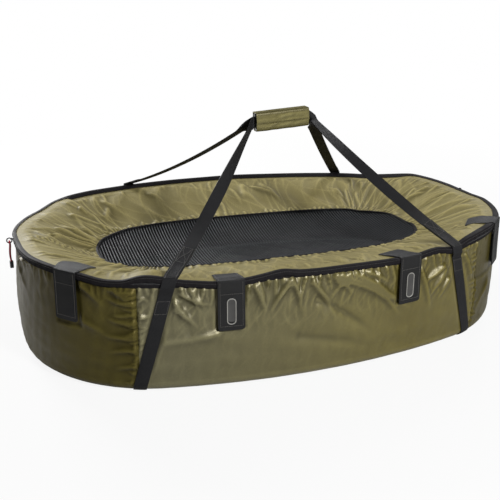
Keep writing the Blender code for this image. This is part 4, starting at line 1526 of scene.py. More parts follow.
    def make_floor_pad(self) -> None:
        """Make the padded floor's foam, crowned a little."""
        middle = LEVEL.pad + 0.0195
        pad = disc("floor_foam_pad", LEVEL.liner_inset + 0.001, middle, 0.034, Finishes.FOAM, 0.002)
        soften(pad)
        place_piece(pad, "tub", ("floor_pad",))

    def make_liner(self) -> None:
        """Make the wipe-clean liner: its wall and its quilted floor."""
        s = OUTLINE.around(640)
        heights = np.linspace(LEVEL.cover_top - 0.001, LEVEL.liner, 46)
        grid_s, grid_z = np.meshgrid(s, heights)
        draw = self.rng.uniform
        folds = []
        at = 0.0
        while at < OUTLINE.total - 0.02:
            top = draw(0.2, 0.255)
            folds.append(Fold((at, top), (at + draw(-0.03, 0.03), top - draw(0.05, 0.15)),
                              draw(0.0008, 0.0024), draw(0.007, 0.014), 0.1))
            at += draw(0.03, 0.07)
        lift = press(folds, grid_s, grid_z) * smooth((grid_z - 0.05) / 0.03) * smooth((0.262 - grid_z) / 0.01)
        points = OUTLINE.place(grid_s, LEVEL.liner_inset + LEVEL.cloth / 2 + 0.0002 + lift, grid_z)
        points[..., 2] += rim_rise(grid_s, LEVEL.liner_inset) * high_up(grid_z)
        uv = np.stack([grid_s, grid_z], -1)
        uv = np.concatenate([uv, uv[:, :1] + (OUTLINE.total, 0.0)], 1)
        wall = Grid(points, uv, True).sheet("liner_wall", LEVEL.cloth, Finishes.LINER)
        place_piece(wall, "tub", ("inner_liner_wall",))
        floor = disc("liner_floor", LEVEL.band_inset, LEVEL.liner + LEVEL.cloth / 2, LEVEL.cloth,
                     Finishes.LINER, 0.0022, quilted=True)
        place_piece(floor, "tub", ("inner_liner_floor",))
        disc_area(LEVEL.band_inset)

    def make_band(self) -> None:
        """Make the tape folded over the wall's top, with its row of stitches."""
        s = OUTLINE.around(900)
        inner = LEVEL.band_inset + LEVEL.web * 0.75
        half = LEVEL.cloth / 2
        line = [(half, 0.2596), (half, 0.2604), (half, 0.2614), (half, 0.2628), (half * 1.2, 0.2645),
                (half * 3, 0.2652), *((0.006 * k, 0.26525) for k in range(1, 6)), (inner - half * 3, 0.2652),
                (inner - half * 1.2, 0.2645), (inner - half, 0.262), (inner - half, 0.256),
                (inner - half, 0.249)]
        insets, heights = np.array(line).T
        ruffle = 0.0005 * np.sin(s * 2 * math.pi / 0.019 + 2 * np.sin(s * 9))
        points = OUTLINE.place(s[None], insets[:, None], heights[:, None])
        low = smooth((LEVEL.rim - heights) / 0.014)[:, None]
        outer = (insets < 0.003)[:, None]
        points += OUTLINE.normal(s)[None] * (ruffle[None] * low * outer)[..., None]
        free = low * outer
        points[..., 2] += BAND_WAVE.at(s)[None] * free + rim_rise(s[None], insets[:, None]) * (1 - free)
        along = running(np.hypot(np.diff(insets), np.diff(heights)))
        band = ring_sheet("rim_tape", points, along, LEVEL.cloth)
        place_piece(band, "tub", ("rim_band",))
        path = OUTLINE.place(s, -0.0002, 0.2608)
        path[:, 2] += BAND_WAVE.at(s)
        row = [(path, OUTLINE.normal(s))]
        sew("rim_tape_stitches", row, Finishes.THREAD, TAPE_STITCH, "tub")

    def make_patches(self) -> None:
        """Make the loop patches that the tabs close on."""
        for tab in TABS:
            foot = tab.foot + PATCH_FOOT
            grid = upright_grid(tab.s, PATCH_HALF, foot, foot + PATCH_HEIGHT, 0.0006, 0.005, 13, 17)
            patch = grid.sheet(f"loop_pad_{tab.name}", 0.0012, Finishes.HOOK)
            place_piece(patch, "tub", (f"loop_patch_{tab.name}",))
            wall_under(tab.s)

    def make_wall_straps(self) -> None:
        """Make the webbing down the walls and under the base, with its stitches."""
        shares = WEB_SHARES
        sewing = []
        for strap in STRAPS:
            radius = LEVEL.edge_radius + LEVEL.gap + LEVEL.web / 2
            turn = np.linspace(0.0, math.pi / 2, 10)
            low = LEVEL.base + LEVEL.edge_radius
            held = LEVEL.cover_inset - LEVEL.gap - LEVEL.web / 2
            centre = LEVEL.cover_inset + LEVEL.edge_radius
            lines = [(held, z) for z in np.linspace(strap.stitch, low, 52)[:-1]]
            lines += [(centre - radius * math.cos(t), low - radius * math.sin(t)) for t in turn]
            points = np.array([strap.row(inset, z, shares) for inset, z in lines])
            run = np.array([p[1] for p in lines])
            bow = 0.0005 * (1 - (2 * shares) ** 2)[None]
            bow = bow + 0.0003 * ripple(5, *np.meshgrid(shares, run), 0.05)
            middle = np.array([strap.middle(float(z)) for z in run])
            points += OUTLINE.normal(middle)[:, None] * bow[..., None]
            uv = crossed(shares * strap.width, 0.0042 * np.arange(1, len(lines) + 1))
            grid = Grid(points[::-1], uv[::-1])
            piece = grid.sheet(f"wall_webbing_{strap.word}", LEVEL.web, Finishes.WEBBING)
            place_piece(piece, "tub", (f"strap_wall_{strap.word}",))
            wall_under(strap.middle(0.15))
            sewing += self.box_stitches(strap)
        sew("strap_box_stitches", sewing, Finishes.PALE_THREAD, BOX_STITCH, "tub")
        self.make_base_straps(shares)

    def box_stitches(self, strap: StrapLine) -> list[tuple[Array, Array]]:
        """Return the box of stitches that holds a strap to the wall.

        Args:
            strap: The strap's line.

        Returns:
            Each side's path and its outward directions.
        """
        inset = LEVEL.cover_inset - LEVEL.gap - LEVEL.web - 0.0003
        top, foot, half = strap.stitch - 0.004, strap.stitch - 0.034, 0.42
        corners = [(-half, top), (half, top), (half, foot), (-half, foot), (-half, top)]
        paths = []
        for (a, b), (c, d) in zip(corners, corners[1:]):
            steps = [(b + (d - b) * t, np.array([a + (c - a) * t])) for t in np.linspace(0, 1, 14)]
            middle = np.full(14, strap.middle((b + d) / 2))
            paths.append((np.array([strap.row(inset, *step)[0] for step in steps]), OUTLINE.normal(middle)))
        return paths

    def make_base_straps(self, shares: Array) -> None:
        """Make the webbing that runs under the base from wall to wall.

        Args:
            shares: Places across the webbing, from -0.5 to 0.5.
        """
        for side in Side:
            inset = LEVEL.cover_inset + LEVEL.edge_radius + LEVEL.gap
            front = StrapLine(side, False).row(inset, LEVEL.web / 2, shares)
            back = StrapLine(side, True).row(inset, LEVEL.web / 2, shares)[::-1]
            t = np.linspace(0.0, 1.0, 60)[:, None, None]
            points = front[None] * (1 - t) + back[None] * t
            uv = crossed(shares * WEB_WIDTH, np.linspace(0.0, 0.74, 60))
            piece = Grid(points, uv).sheet(f"base_webbing_{side.word}", LEVEL.web, Finishes.WEBBING)
            place_piece(piece, "tub", (f"strap_base_{side.word}",))


def pick(piece: Piece) -> None:
    """Select only this piece and make it the active one.

    Args:
        piece: The piece.
    """
    bpy.ops.object.select_all(action="DESELECT")
    bpy.context.view_layer.objects.active = piece
    piece.select_set(True)


def bevelled(piece: Piece, width: float, segments: int, angle: float) -> None:
    """Round a piece's sharp edges with an applied bevel.

    Args:
        piece: The piece.
        width: The bevel's width.
        segments: Its segments.
        angle: The angle in degrees above which an edge is sharp.
    """
    pick(piece)
    bevel = piece.modifiers.new("soft_edges", "BEVEL")
    bevel.width = width
    bevel.segments = segments
    bevel.limit_method = "ANGLE"
    bevel.angle_limit = math.radians(angle)
    bpy.ops.object.modifier_apply(modifier=bevel.name)


def soften(piece: Piece) -> None:
    """Round a foam's edges and shade it smooth."""
    bevelled(piece, 0.004, 3, 50.0)
    piece.data.shade_smooth()


def wall_under(s: float) -> str:
    """Return the name of the wall cover that lies at a length along the outline.

    Args:
        s: The length along the outline.

    Returns:
        The cover's name.
    """
    x, y, _ = OUTLINE.place(s, 0.0, 0.0)
    if abs(x) < SEAM_X:
        return "cover_front" if y < 0 else "cover_back"
    return "cover_left" if x < 0 else "cover_right"


def disc_area(inset: float) -> float:
    """Return the plan area inside an inset outline.

    Args:
        inset: How far in from the rim.

    Returns:
        The area.
    """
    p = OUTLINE.place(OUTLINE.around(720), inset, 0.0)
    x, y = p[:, 0], p[:, 1]
    return float(abs(np.dot(x, np.roll(y, -1)) - np.dot(y, np.roll(x, -1))) / 2)


def disc(name: str, inset: float, z: float, thickness: float, finish: ClothFinish, crown: float,
         quilted: bool = False) -> Piece:
    """Return a plate that fills the outline, as one grid that is bent out to the edge.

    Args:
        name: The object's name.
        inset: How far inside the rim it ends.
        z: The height of its middle surface.
        thickness: Its thickness.
        finish: Its finish.
        crown: How far its middle stands up.
        quilted: Whether crossing channels are sewn into it.

    Returns:
        The new object.
    """
    x = np.linspace(-1.0, 1.0, 150 if quilted else 60)
    y = np.linspace(-1.0, 1.0, 90 if quilted else 36)
    u, v = np.meshgrid(x, y)
    disc_x = u * np.sqrt(1 - v * v / 2)
    disc_y = v * np.sqrt(1 - u * u / 2)
    reach = np.hypot(disc_x, disc_y)
    turn = np.arctan2(disc_y, disc_x)
    s = OUTLINE.around(2400)
    edge = OUTLINE.place(s, inset, 0.0)
    bearing = np.arctan2(edge[:, 1] / OUTLINE.width, edge[:, 0] / OUTLINE.length)
    order = np.argsort(bearing)
    edge_x = np.interp(turn, bearing[order], edge[order, 0], period=2 * math.pi)
    edge_y = np.interp(turn, bearing[order], edge[order, 1], period=2 * math.pi)
    px, py = edge_x * reach, edge_y * reach
    lift = crown * (1 - reach**2)
    if quilted:
        rows = [np.abs(np.sin(math.pi * way / QUILT)) for way in (px + py, px - py)]
        channel = np.minimum(*rows)
        lift = lift + 0.004 * (np.minimum(channel, 0.5) * 2) ** 0.5 * smooth((1 - reach) / 0.08)
        lift = lift + 0.0006 * ripple(9, px, py, 0.06)
    points = np.stack([px, py, z + lift], -1)
    return Grid(points, np.stack([px, py], -1)).sheet(name, thickness, finish)


def upright_grid(s: float, half: float, foot: float, top: float, out: float, corner: float, columns: int,
                 rows: int) -> Grid:
    """Return a flat, upright cloth rectangle with rounded lower corners, which stands off the rim.

    Args:
        s: Its middle's length along the outline.
        half: Half its width.
        foot: The height of its foot.
        top: The height of its top.
        out: How far it stands out from the rim.
        corner: The radius of its lower corners.
        columns: Its columns of points.
        rows: Its rows of points.

    Returns:
        Its middle surface.
    """
    x, y, _ = OUTLINE.place(s, 0.0, 0.0)
    ahead, away = OUTLINE.axes(s)
    z = np.linspace(foot, top, rows)
    pinch = corner - np.sqrt(np.maximum(corner**2 - np.maximum(corner - (z - foot), 0.0) ** 2, 0.0))
    wide = (half - pinch)[:, None] * np.linspace(-1.0, 1.0, columns)[None]
    points = np.array([x, y, 0.0]) + ahead * wide[..., None] + away * out
    points[..., 2] = z[:, None]
    uv = np.stack([wide, np.broadcast_to(z[:, None], wide.shape)], -1)
    return Grid(points, uv)


def rod_faces(rows: int, sides: int, fan: tuple[tuple[int, ...], ...], first: int = 0) -> Array:
    """Return the four-sided faces of a closed rod.

    Args:
        rows: How many rings of points it has.
        sides: How many points a ring has.
        fan: The four-sided faces that fill one ring.
        first: The index of its first point.

    Returns:
        Its walls and its two flat ends, turned one way.
    """
    here = np.arange(rows - 1)[:, None] * sides + np.arange(sides)
    after = np.arange(rows - 1)[:, None] * sides + (np.arange(sides) + 1) % sides
    walls = np.stack([here, after, after + sides, here + sides], -1).reshape(-1, 4)
    far = (rows - 1) * sides + np.array(fan)
    return first + np.concatenate([walls, np.array(fan)[:, ::-1], far])


def ring_sheet(name: str, points: Array, along: Array, thickness: float) -> Piece:
    """Return a tape laid round the whole outline, from even rows of points."""
    s = np.linspace(0.0, OUTLINE.total, points.shape[1] + 1)
    return Grid(points, crossed(s, along), True).sheet(name, thickness, Finishes.TAPE)


def high_up(z: Array) -> Array:
    """Return how far the wall follows its rim's wave at a height: 0 low down and 1 near the top."""
    return smooth((z - 0.12) / 0.12)


def zip_row(z: float, body: str) -> None:
    """Make a row of zip teeth along the whole rim.

    Args:
        z: The row's height.
        body: The body that it moves with.
    """
    s = np.linspace(0.0, OUTLINE.total, 2600)
    path = OUTLINE.place(s, -0.0015, z)
    path[:, 2] += BAND_WAVE.at(s)
    rows = Frames.on_path(path, np.tile(UP, (len(s), 1)), ZIP_PITCH)
    rows = Frames(rows.places, rows.up, rows.along, rows.across)
    form, faces = capsule(ZIP_PITCH, ZIP_RADIUS)
    teeth = rows.repeat(f"zip_teeth_{body}", form, faces, Finishes.PLASTIC)
    place_piece(teeth, body, (f"zip_coil_{body}",))


# The lid


@dataclass
class Lid:
    """The zipped lid: its tape and teeth, gathered panels, net window, edge flap and tab roots."""

    step: float = 0.004
    crinkled: float = 0.0034
    tape_width: float = 0.026
    drop: float = 0.058
    half_length: float = 0.443
    half_width: float = 0.188
    shift: float = -0.008
    turn: float = math.radians(-4.0)
    power: float = 3.0
    net_pitch: float = 0.0078
    net_sag: float = 0.022
    fold_share: float = 1.6
    top_width: Wave = field(default_factory=lambda: Wave(
        ((-649, 7), (-560, 8), (-500, 7), (-300, 6), (300, 6), (450, 12), (649, 9)),
        ((-648, 5), (-500, 6), (-470, 15), (0, 15), (500, 16), (648, 12))))
    rng: np.random.RandomState = field(default_factory=lambda: np.random.RandomState(29))

    def build(self) -> None:
        """Make and place every piece of the lid."""
        self.table = OUTLINE.around(3000)
        self.depths = self.window_depth(self.table)
        self.make_tape()
        zip_row(LEVEL.tape + ZIP_HALF, "lid")
        right = OUTLINE.at_angle(0.0)
        self.make_panel("back", right, OUTLINE.left_end)
        self.make_panel("front", OUTLINE.left_end, right + OUTLINE.total)
        self.make_net()
        self.make_binding()
        self.make_flap()
        for tab in TABS:
            self.make_root(tab)

    def in_window(self, x: Array, y: Array) -> Array:
        """Return how far out places are: 0 in the window's middle, 1 on its edge.

        Args:
            x: Places along the mat.
            y: Places across it.

        Returns:
            One value a place.
        """
        dx = x - self.shift
        along = dx * math.cos(self.turn) + y * math.sin(self.turn)
        across = y * math.cos(self.turn) - dx * math.sin(self.turn)
        p = self.power
        return (np.abs(along / self.half_length) ** p + np.abs(across / self.half_width) ** p) ** (1 / p)

    def window_depth(self, s: Array) -> Array:
        """Return how far in from the rim the window's edge lies.

        Args:
            s: Lengths along the outline.

        Returns:
            The depths.
        """
        low = np.full(s.shape, 0.02)
        high = np.full(s.shape, 0.32)
        for _ in range(DEPTH_HALVINGS):
            middle = (low + high) / 2
            p = OUTLINE.place(s, middle, 0.0)
            outside = self.in_window(p[..., 0], p[..., 1]) > 1
            low = np.where(outside, middle, low)
            high = np.where(outside, high, middle)
        return low

    def depth(self, s: Array) -> Array:
        """Return the window's depth from the kept table."""
        return np.interp(np.mod(s, OUTLINE.total), self.table, self.depths, period=OUTLINE.total)

    def height(self, s: Array, inset: Array) -> Array:
        """Return the height of the lid's cloth, without its folds.

        Args:
            s: Lengths along the outline.
            inset: How far in from the rim.

        Returns:
            The heights.
        """
        share = np.clip((inset - LEVEL.slope_inset) / (self.depth(s) - LEVEL.slope_inset), 0.0, 1.0)
        ease = 0.55 * share + 0.45 * smooth(share)
        rise = LID_WAVE.at(s) * (1 - share) ** 2 - shoulder(s, inset) * (1 - share) ** 2
        return LEVEL.lid + LEVEL.cloth / 2 + rise - self.drop * ease

    def make_tape(self) -> None:
        """Make the lid's zip tape, whose outer edge closes the space down to the rim band."""
        s = OUTLINE.around(700)
        insets = np.array([-0.0009, -0.0009, -0.0009, -0.0006, 0.001, 0.008, 0.017, self.tape_width])
        shares = np.array([0.0, 0.4, 0.8, 0.97, 1.0, 1.0, 1.0, 1.0])[:, None]
        foot = 0.256 + BAND_WAVE.at(s)[None]
        top = LEVEL.tape + 0.0007 + LID_WAVE.at(s)[None]
        top = top - shoulder(s[None], insets[:, None])
        points = OUTLINE.place(s[None], insets[:, None], foot * (1 - shares) + top * shares)
        along = 0.006 * np.arange(8)
        tape = ring_sheet("lid_tape", points, along, 0.001)
        place_piece(tape, "lid", ("lid_zip_tape",))

    def panel_folds(self, first: float, last: float, deep: bool) -> list[Fold]:
        """Return a lid panel's folds on a map of rim length and share of the way in.

        Args:
            first: Where the panel begins along the rim.
            last: Where it ends.
            deep: Whether long deep folds cross it.

        Returns:
            The folds, whose second place is a share times PANEL_DEPTH.
        """
        draw = self.rng.uniform
        folds = []
        s = first + 0.01
        while s < last - 0.01:
            room = PANEL_DEPTH / float(self.depth(s))
            length = draw(0.01, 0.03) * room
            folds.append(Fold((s, PANEL_DEPTH), (s + draw(-0.012, 0.012), PANEL_DEPTH - length),
                              draw(0.0022, 0.005), draw(0.0055, 0.0085),
                              draw(-0.1, 0.1), True))
            near = 1.0 - float(smooth((abs(s - OUTLINE.left_end) - 0.2) / 0.2))
            s += draw(0.014, 0.03) * (1.0 + 1.6 * near)
        s = first + 0.02
        while s < last - 0.02:
            length = draw(0.02, 0.05) * (1.6 if self.rng.rand() < 0.25 else 1.0)
            folds.append(Fold((s, 0.012), (s + draw(-0.03, 0.03), 0.012 + length),
                              draw(0.0012, 0.003), draw(0.006, 0.011),
                              draw(-0.2, 0.2), True))
            s += draw(0.03, 0.075)
        for _ in range(int((last - first) * (17 if deep else 10))):
            s = draw(first + 0.04, last - 0.04)
            v = draw(0.03, 0.1)
            folds.append(Fold((s, v), (s + draw(-0.1, 0.1), v + draw(0.03, 0.08)),
                              draw(0.0024, 0.005 if deep else 0.0036),
                              draw(0.008, 0.018), draw(-0.25, 0.25)))
        tip = OUTLINE.left_end
        for _ in range(9):
            s = tip + draw(0.04, 0.34) * (-1 if deep else 1)
            folds.append(Fold((tip + (s - tip) * 0.7, 0.155), (s, draw(0.03, 0.09)),
                              draw(0.0022, 0.0048), draw(0.009, 0.02),
                              draw(-0.12, 0.12), True))
        v = 0.02
        while v < 0.155:
            reach = draw(0.012, 0.03) * (-1 if deep else 1)
            folds.append(Fold((tip, v), (tip + reach, v + draw(-0.006, 0.006)),
                              draw(0.0016, 0.003), draw(0.0035, 0.005), 0.1, True))
            v += draw(0.007, 0.012)
        return folds

    def make_panel(self, word: str, first: float, last: float) -> None:
        """Make one half of the lid's cloth, from its flat margin down to the window.

        Args:
            word: Its name.
            first: Where it begins along the outline.
            last: Where it ends.
        """
        gap = LEVEL.gap / 2
        s = np.linspace(first + gap, last - gap, int((last - first) / self.step))
        shares = np.linspace(0.0, 1.0, 52)[1:]
        rows = [np.full(len(s), inset) for inset in (0.003, 0.008, 0.014, 0.021, 0.029, LEVEL.slope_inset)]
        room = self.depth(s) - LEVEL.slope_inset
        rows += [LEVEL.slope_inset + room * share for share in shares]
        inset = np.array(rows)
        grid_s = np.broadcast_to(s, inset.shape)
        share = np.clip(inset / self.depth(grid_s), 0.0, 1.0)
        folds = self.panel_folds(first, last, word == "back")
        lift = self.fold_share * press(folds, grid_s, share * PANEL_DEPTH)
        lift += 0.003 * ripple(40 + len(word), grid_s * 1.0, share * PANEL_DEPTH, 0.13)
        lift += self.crinkled * crinkle(90 + len(word), grid_s, share * PANEL_DEPTH, 0.052)
        edge = smooth((inset - self.top_width.at(grid_s) - 0.006) / 0.025)
        inner = 0.35 + 0.65 * smooth((self.depth(grid_s) - inset) / 0.015)
        ends = np.minimum(smooth((grid_s - first) / 0.008), smooth((last - grid_s) / 0.008))
        lift = lift * edge * inner * (0.3 + 0.7 * ends) * self.clear_of_roots(grid_s, inset)
        lift = np.maximum(lift, -0.02 * smooth((inset - self.tape_width - 0.002) / 0.012))
        points = OUTLINE.place(grid_s, inset, self.height(grid_s, inset) + lift)
        uv = np.stack([grid_s, inset], -1)
        panel = Grid(points, uv).sheet(f"lid_cloth_{word}", LEVEL.cloth, Finishes.KHAKI)
        place_piece(panel, "lid", (f"lid_panel_{word}",))

    def clear_of_roots(self, s: Array, inset: Array) -> Array:
        """Return 0 where a tab's root lies on the cloth and 1 away from it.

        Args:
            s: Lengths along the outline.
            inset: How far in from the rim.

        Returns:
            A share at each place.
        """
        free = np.ones_like(s)
        for tab in TABS:
            away = np.mod(s - tab.s + OUTLINE.total / 2, OUTLINE.total) - OUTLINE.total / 2
            low = min(p[0] for p in tab.left) - 0.004
            high = max(p[0] for p in tab.right) + 0.004
            deep = max(p[1] for p in tab.left + tab.right) + 0.004
            beside = smooth((np.maximum(low - away, away - high)) / 0.012)
            free *= np.maximum(beside, smooth((inset - deep) / 0.012))
        return free

    def net_height(self, x: Array, y: Array) -> Array:
        """Return the height of the net's middle surface.

        Args:
            x: Places along the mat.
            y: Places across it.

        Returns:
            The heights.
        """
        out = np.clip(self.in_window(x, y), 0.0, 1.0)
        sag = self.net_sag * (1 - out**2) + 0.0022 * ripple(77, x, y, 0.22) * smooth((1 - out) / 0.25)
        return LEVEL.lid + LEVEL.cloth / 2 - self.drop - 0.0005 - sag

    def make_net(self) -> None:
        """Make the net as crossing threads that pass over and under each other."""
        points, faces, uv = [], [], []
        pitch = self.net_pitch
        span = (self.half_length, self.half_width)
        cos, sin = math.cos(self.turn), math.sin(self.turn)
        ways = np.array([(cos, sin, 0.0), (-sin, cos, 0.0)])
        first = 0
        for axis, radius in ((0, 0.00072), (1, 0.00162)):
            count = int(span[1 - axis] / pitch)
            side = ways[1 - axis]
            for k in range(-count, count + 1):
                at = k * pitch
                inside = (1 - (abs(at) / span[1 - axis]) ** self.power) ** (1 / self.power)
                reach = span[axis] * inside + 0.004
                places = np.arange(-math.ceil(reach / pitch), math.ceil(reach / pitch) + 1)
                run = np.clip(places * pitch, -reach, reach)
                x, y, _ = (run[:, None] * ways[axis] + at * side).T
                x = x + self.shift
                over = 0.0004 * np.where((places + k + axis) % 2 == 0, 1.0, -1.0)
                middle = np.stack([x, y, self.net_height(x, y) + over], -1)
                ring = [middle + way * radius for way in (side, UP * 0.7, -side, UP * -0.7)]
                points.append(np.stack(ring, 1).reshape(-1, 3))
                walls = rod_faces(len(run), 4, ((0, 1, 2, 3),), first)
                faces.append(walls[:, ::-1] if axis == 0 else walls)
                uv.append(np.stack([np.repeat(run, 4), np.tile(np.arange(4) * 0.001, len(run))], -1))
                first += 4 * len(run)
        faces = np.concatenate(faces)
        net = solid("window_net", np.concatenate(points), faces, np.concatenate(uv), faces, Finishes.NET)
        place_piece(net, "lid", ("lid_mesh",))

    def make_binding(self) -> None:
        """Make the narrow tape that binds the net to the cloth."""
        s = OUTLINE.around(620)
        rows = np.array([-0.0012, 0.0, 0.0025, 0.005, 0.0062])
        inset = self.depth(s)[None] + rows[:, None]
        lift = np.array([0.0004, 0.0016, 0.002, 0.0012, 0.0002])[:, None]
        pucker = 0.0004 * np.sin(s * 2 * math.pi / 0.016 + np.sin(s * 7))[None]
        points = OUTLINE.place(s[None], inset, LEVEL.lid + LEVEL.cloth / 2 - self.drop + lift + pucker)
        binding = ring_sheet("net_binding", points, rows, 0.001)
        place_piece(binding, "lid", ("mesh_binding",))

    def make_flap(self) -> None:
        """Make the strip that covers the zip: a lip down the outside and a top on the lid's margin."""
        s = OUTLINE.around(1100)
        out = LEVEL.gap + 0.0025 + LEVEL.gap + LEVEL.cloth / 2
        line = np.array([(-out, 0.2594), (-out, 0.262), (-out, 0.265), (-out, 0.2678),
                         (-out * 0.96, 0.2694), (-out * 0.8, 0.2706), (-out * 0.5, 0.2712), (0.0, 0.2713)])
        top = self.top_width.at(s)
        insets = np.concatenate([np.repeat(line[:, :1], len(s), 1), [top * k for k in (0.35, 0.7, 1.0)]])
        level = np.append(line[:, 1], (0.2713, 0.2712, 0.2708))[:, None]
        ruffle = 0.0006 * np.sin(s * 2 * math.pi / 0.021 + 2.2 * np.sin(s * 8))
        ruffle += 0.0004 * np.sin(s * 2 * math.pi / 0.0083)
        low = smooth((0.2694 - level) / 0.008) * self.calm(s)[None]
        insets = insets - np.maximum(ruffle[None] * low, -0.0004)
        heights = level + LID_WAVE.at(s)[None] + 0.0005 * np.sin(s * 2 * math.pi / 0.034)[None] * low
        heights = heights - shoulder(np.broadcast_to(s, insets.shape), insets)
        points = OUTLINE.place(np.broadcast_to(s, insets.shape), insets, heights)
        along = 0.0026 * np.arange(len(insets))
        flap = ring_sheet("edge_flap", points, along, LEVEL.cloth)
        place_piece(flap, "lid", ("zip_flap",))
        path = OUTLINE.place(s, -out - 0.0009, 0.268 + LID_WAVE.at(s))
        row = [(path, OUTLINE.normal(s))]
        sew("edge_flap_stitches", row, Finishes.THREAD, TAPE_STITCH, "lid")

    def calm(self, s: Array) -> Array:
        """Return 0 under the tabs and straps and 1 elsewhere.

        Args:
            s: Lengths along the outline.

        Returns:
            A share at each length.
        """
        free = np.ones_like(s)
        for middle, half in [(t.s, 0.03) for t in TABS] + [(p.middle(LEVEL.rim), 0.018) for p in STRAPS]:
            free *= smooth((OUTLINE.apart(s, middle) - half) / 0.01)
        return free

    def make_root(self, tab: TabSpot) -> None:
        """Make a tab's root: the part sewn on the lid, which bends over the edge to the hanging part.

        Args:
            tab: Where the tab stands.
        """
        s = tab.s
        ahead, away = OUTLINE.axes(s)
        rim = OUTLINE.place(s, 0.0, 0.0)
        hang = [(0.0059, 0.2722 - 0.0012 * k) for k in (2.0, 1.0)]
        hang += [(0.0055, 0.27195), (0.0044, 0.2726), (0.0028, 0.2729)]
        left, right = self.chain(tab.left), self.chain(tab.right)
        rows = []
        for out, z in hang:
            edge = np.linspace(-tab.half, tab.half, ROOT_COLUMNS)
            rows.append(rim + ahead * edge[:, None] + away * out + np.array([0.0, 0.0, z + tab.wave]))
        for a, b in zip(left, right):
            t = np.linspace(0.0, 1.0, ROOT_COLUMNS)
            along, inward = a[0] + (b[0] - a[0]) * t, a[1] + (b[1] - a[1]) * t
            over = 0.0022 + 0.0018 * (1 - smooth((inward - 0.012) / 0.02))
            z = self.height(s + along, inward) + over
            rows.append(rim + ahead * along[:, None] - away * inward[:, None] + UP * z[:, None])
        points = np.array(rows)
        run = 0.003 * np.arange(len(rows))
        uv = crossed(np.linspace(-tab.half, tab.half, ROOT_COLUMNS), run)
        root = Grid(points, uv).sheet(f"tab_sewn_{tab.name}", 0.0018, Finishes.TAB)
        place_piece(root, "lid", (f"tab_root_{tab.name}",))
        border = points[5:, 1:-1]
        loop = np.concatenate([border[:, 0], border[-1, 1:-1], border[::-1, -1]]) + (0.0, 0.0, 0.0012)
        path = [(loop, np.tile(UP, (len(loop), 1)))]
        sew(f"tab_sewn_stitches_{tab.name}", path, Finishes.PALE_THREAD, FINE_STITCH, "lid")

    def chain(self, corners: tuple[Pair, ...]) -> Array:
        """Return one side of a root as sixteen points along its corners.

        Args:
            corners: The side's corners.

        Returns:
            The points.
        """
        p = np.array(corners)
        run = np.linspace(0.0, len(p) - 1, 16)
        return at_run(run, np.arange(len(p)), p)


# The tabs


@dataclass
class TabFlap:
    """The hanging part of one tab, with its hook pad, stitches and badge."""

    spot: TabSpot
    corner: float = 0.006
    out: float = 0.0059

    @property
    def body(self) -> str:
        """Return the body that the tab swings with."""
        return f"tab_{self.spot.name}"

    def build(self) -> None:
        """Make the tab's pieces."""
        spot = self.spot
        grid = upright_grid(spot.s, spot.half, spot.foot, 0.2697 + spot.wave, self.out, self.corner, 25, 46)
        low = smooth((0.26 + spot.wave - grid.points[..., 2]) / 0.1)
        normal = OUTLINE.axes(spot.s)[1]
        curl = 0.0016 * low**2 + 0.0006 * ripple(len(spot.name), grid.uv[..., 0], grid.uv[..., 1], 0.06) * low
        grid.points += normal * curl[..., None]
        flap = grid.sheet(f"tab_hang_{spot.name}", 0.002, Finishes.TAB)
        place_piece(flap, self.body, (f"tab_flap_{spot.name}",))
        foot = spot.foot + PATCH_FOOT
        pad = upright_grid(spot.s, PATCH_HALF, foot, foot + PATCH_HEIGHT, 0.0036, 0.004, 13, 17)
        hooks = pad.sheet(f"tab_grip_{spot.name}", 0.0016, Finishes.HOOK)
        place_piece(hooks, self.body, (f"tab_hook_{spot.name}",))
        self.sew(grid, normal)
        if spot.badge:
            self.make_badge()

    def sew(self, grid: Grid, normal: Array) -> None:
        """Sew the border and the line under the edge.

        Args:
            grid: The flap's middle surface.
            normal: The direction out of it.
        """
        outer = grid.points + normal * 0.0012
        left, right = outer[4:, 2], outer[4:, -3]
        foot = outer[4, 2:-2]
        loop = np.concatenate([left[::-1], foot[1:-1], right])
        bar = outer[-12, 2:-2]
        paths = [(loop, np.tile(normal, (len(loop), 1))), (bar, np.tile(normal, (len(bar), 1)))]
        name = f"tab_stitches_{self.spot.name}"
        sew(name, paths, Finishes.PALE_THREAD, TAB_STITCH, self.body)

    def make_badge(self) -> None:
        """Mould the bare badge: a dark field inside a raised pale frame."""
        spot = self.spot
        badge = rounded_block(f"badge_{spot.name}", (0.021, 0.0012, 0.062), 0.0095, Finishes.BADGE)
        bpy.context.view_layer.objects.active = badge
        badge.data.materials.append(Finishes.get(Finishes.BADGE_FIELD))
        dent(badge, lambda face: face.normal.y > 0.9 and face.calc_area() > 0.0006,
             (0.0017, 0.0), (0.0003, -0.0006))
        badge.active_material_index = 1
        bpy.ops.object.material_slot_assign()
        bpy.ops.object.mode_set(mode="OBJECT")
        finish_edges(badge, 0.00022)
        frame = standing(spot.s, self.out + 0.0024, spot.foot + 0.006 + 0.031 + 0.008)
        badge.data.transform(frame)
        place_piece(badge, self.body, (f"tab_badge_{spot.name}",))


def standing(s: float, out: float, z: float) -> Matrix:
    """Return the frame of a piece that stands on the wall: along, outward and up.

    Args:
        s: The length along the outline.
        out: How far out from the rim.
        z: The height.

    Returns:
        The frame.
    """
    ahead, away = OUTLINE.axes(s)
    columns = np.stack([-ahead, away, UP, OUTLINE.place(s, -out, z)], -1)
    return Matrix([*columns.tolist(), (0.0, 0.0, 0.0, 1.0)])


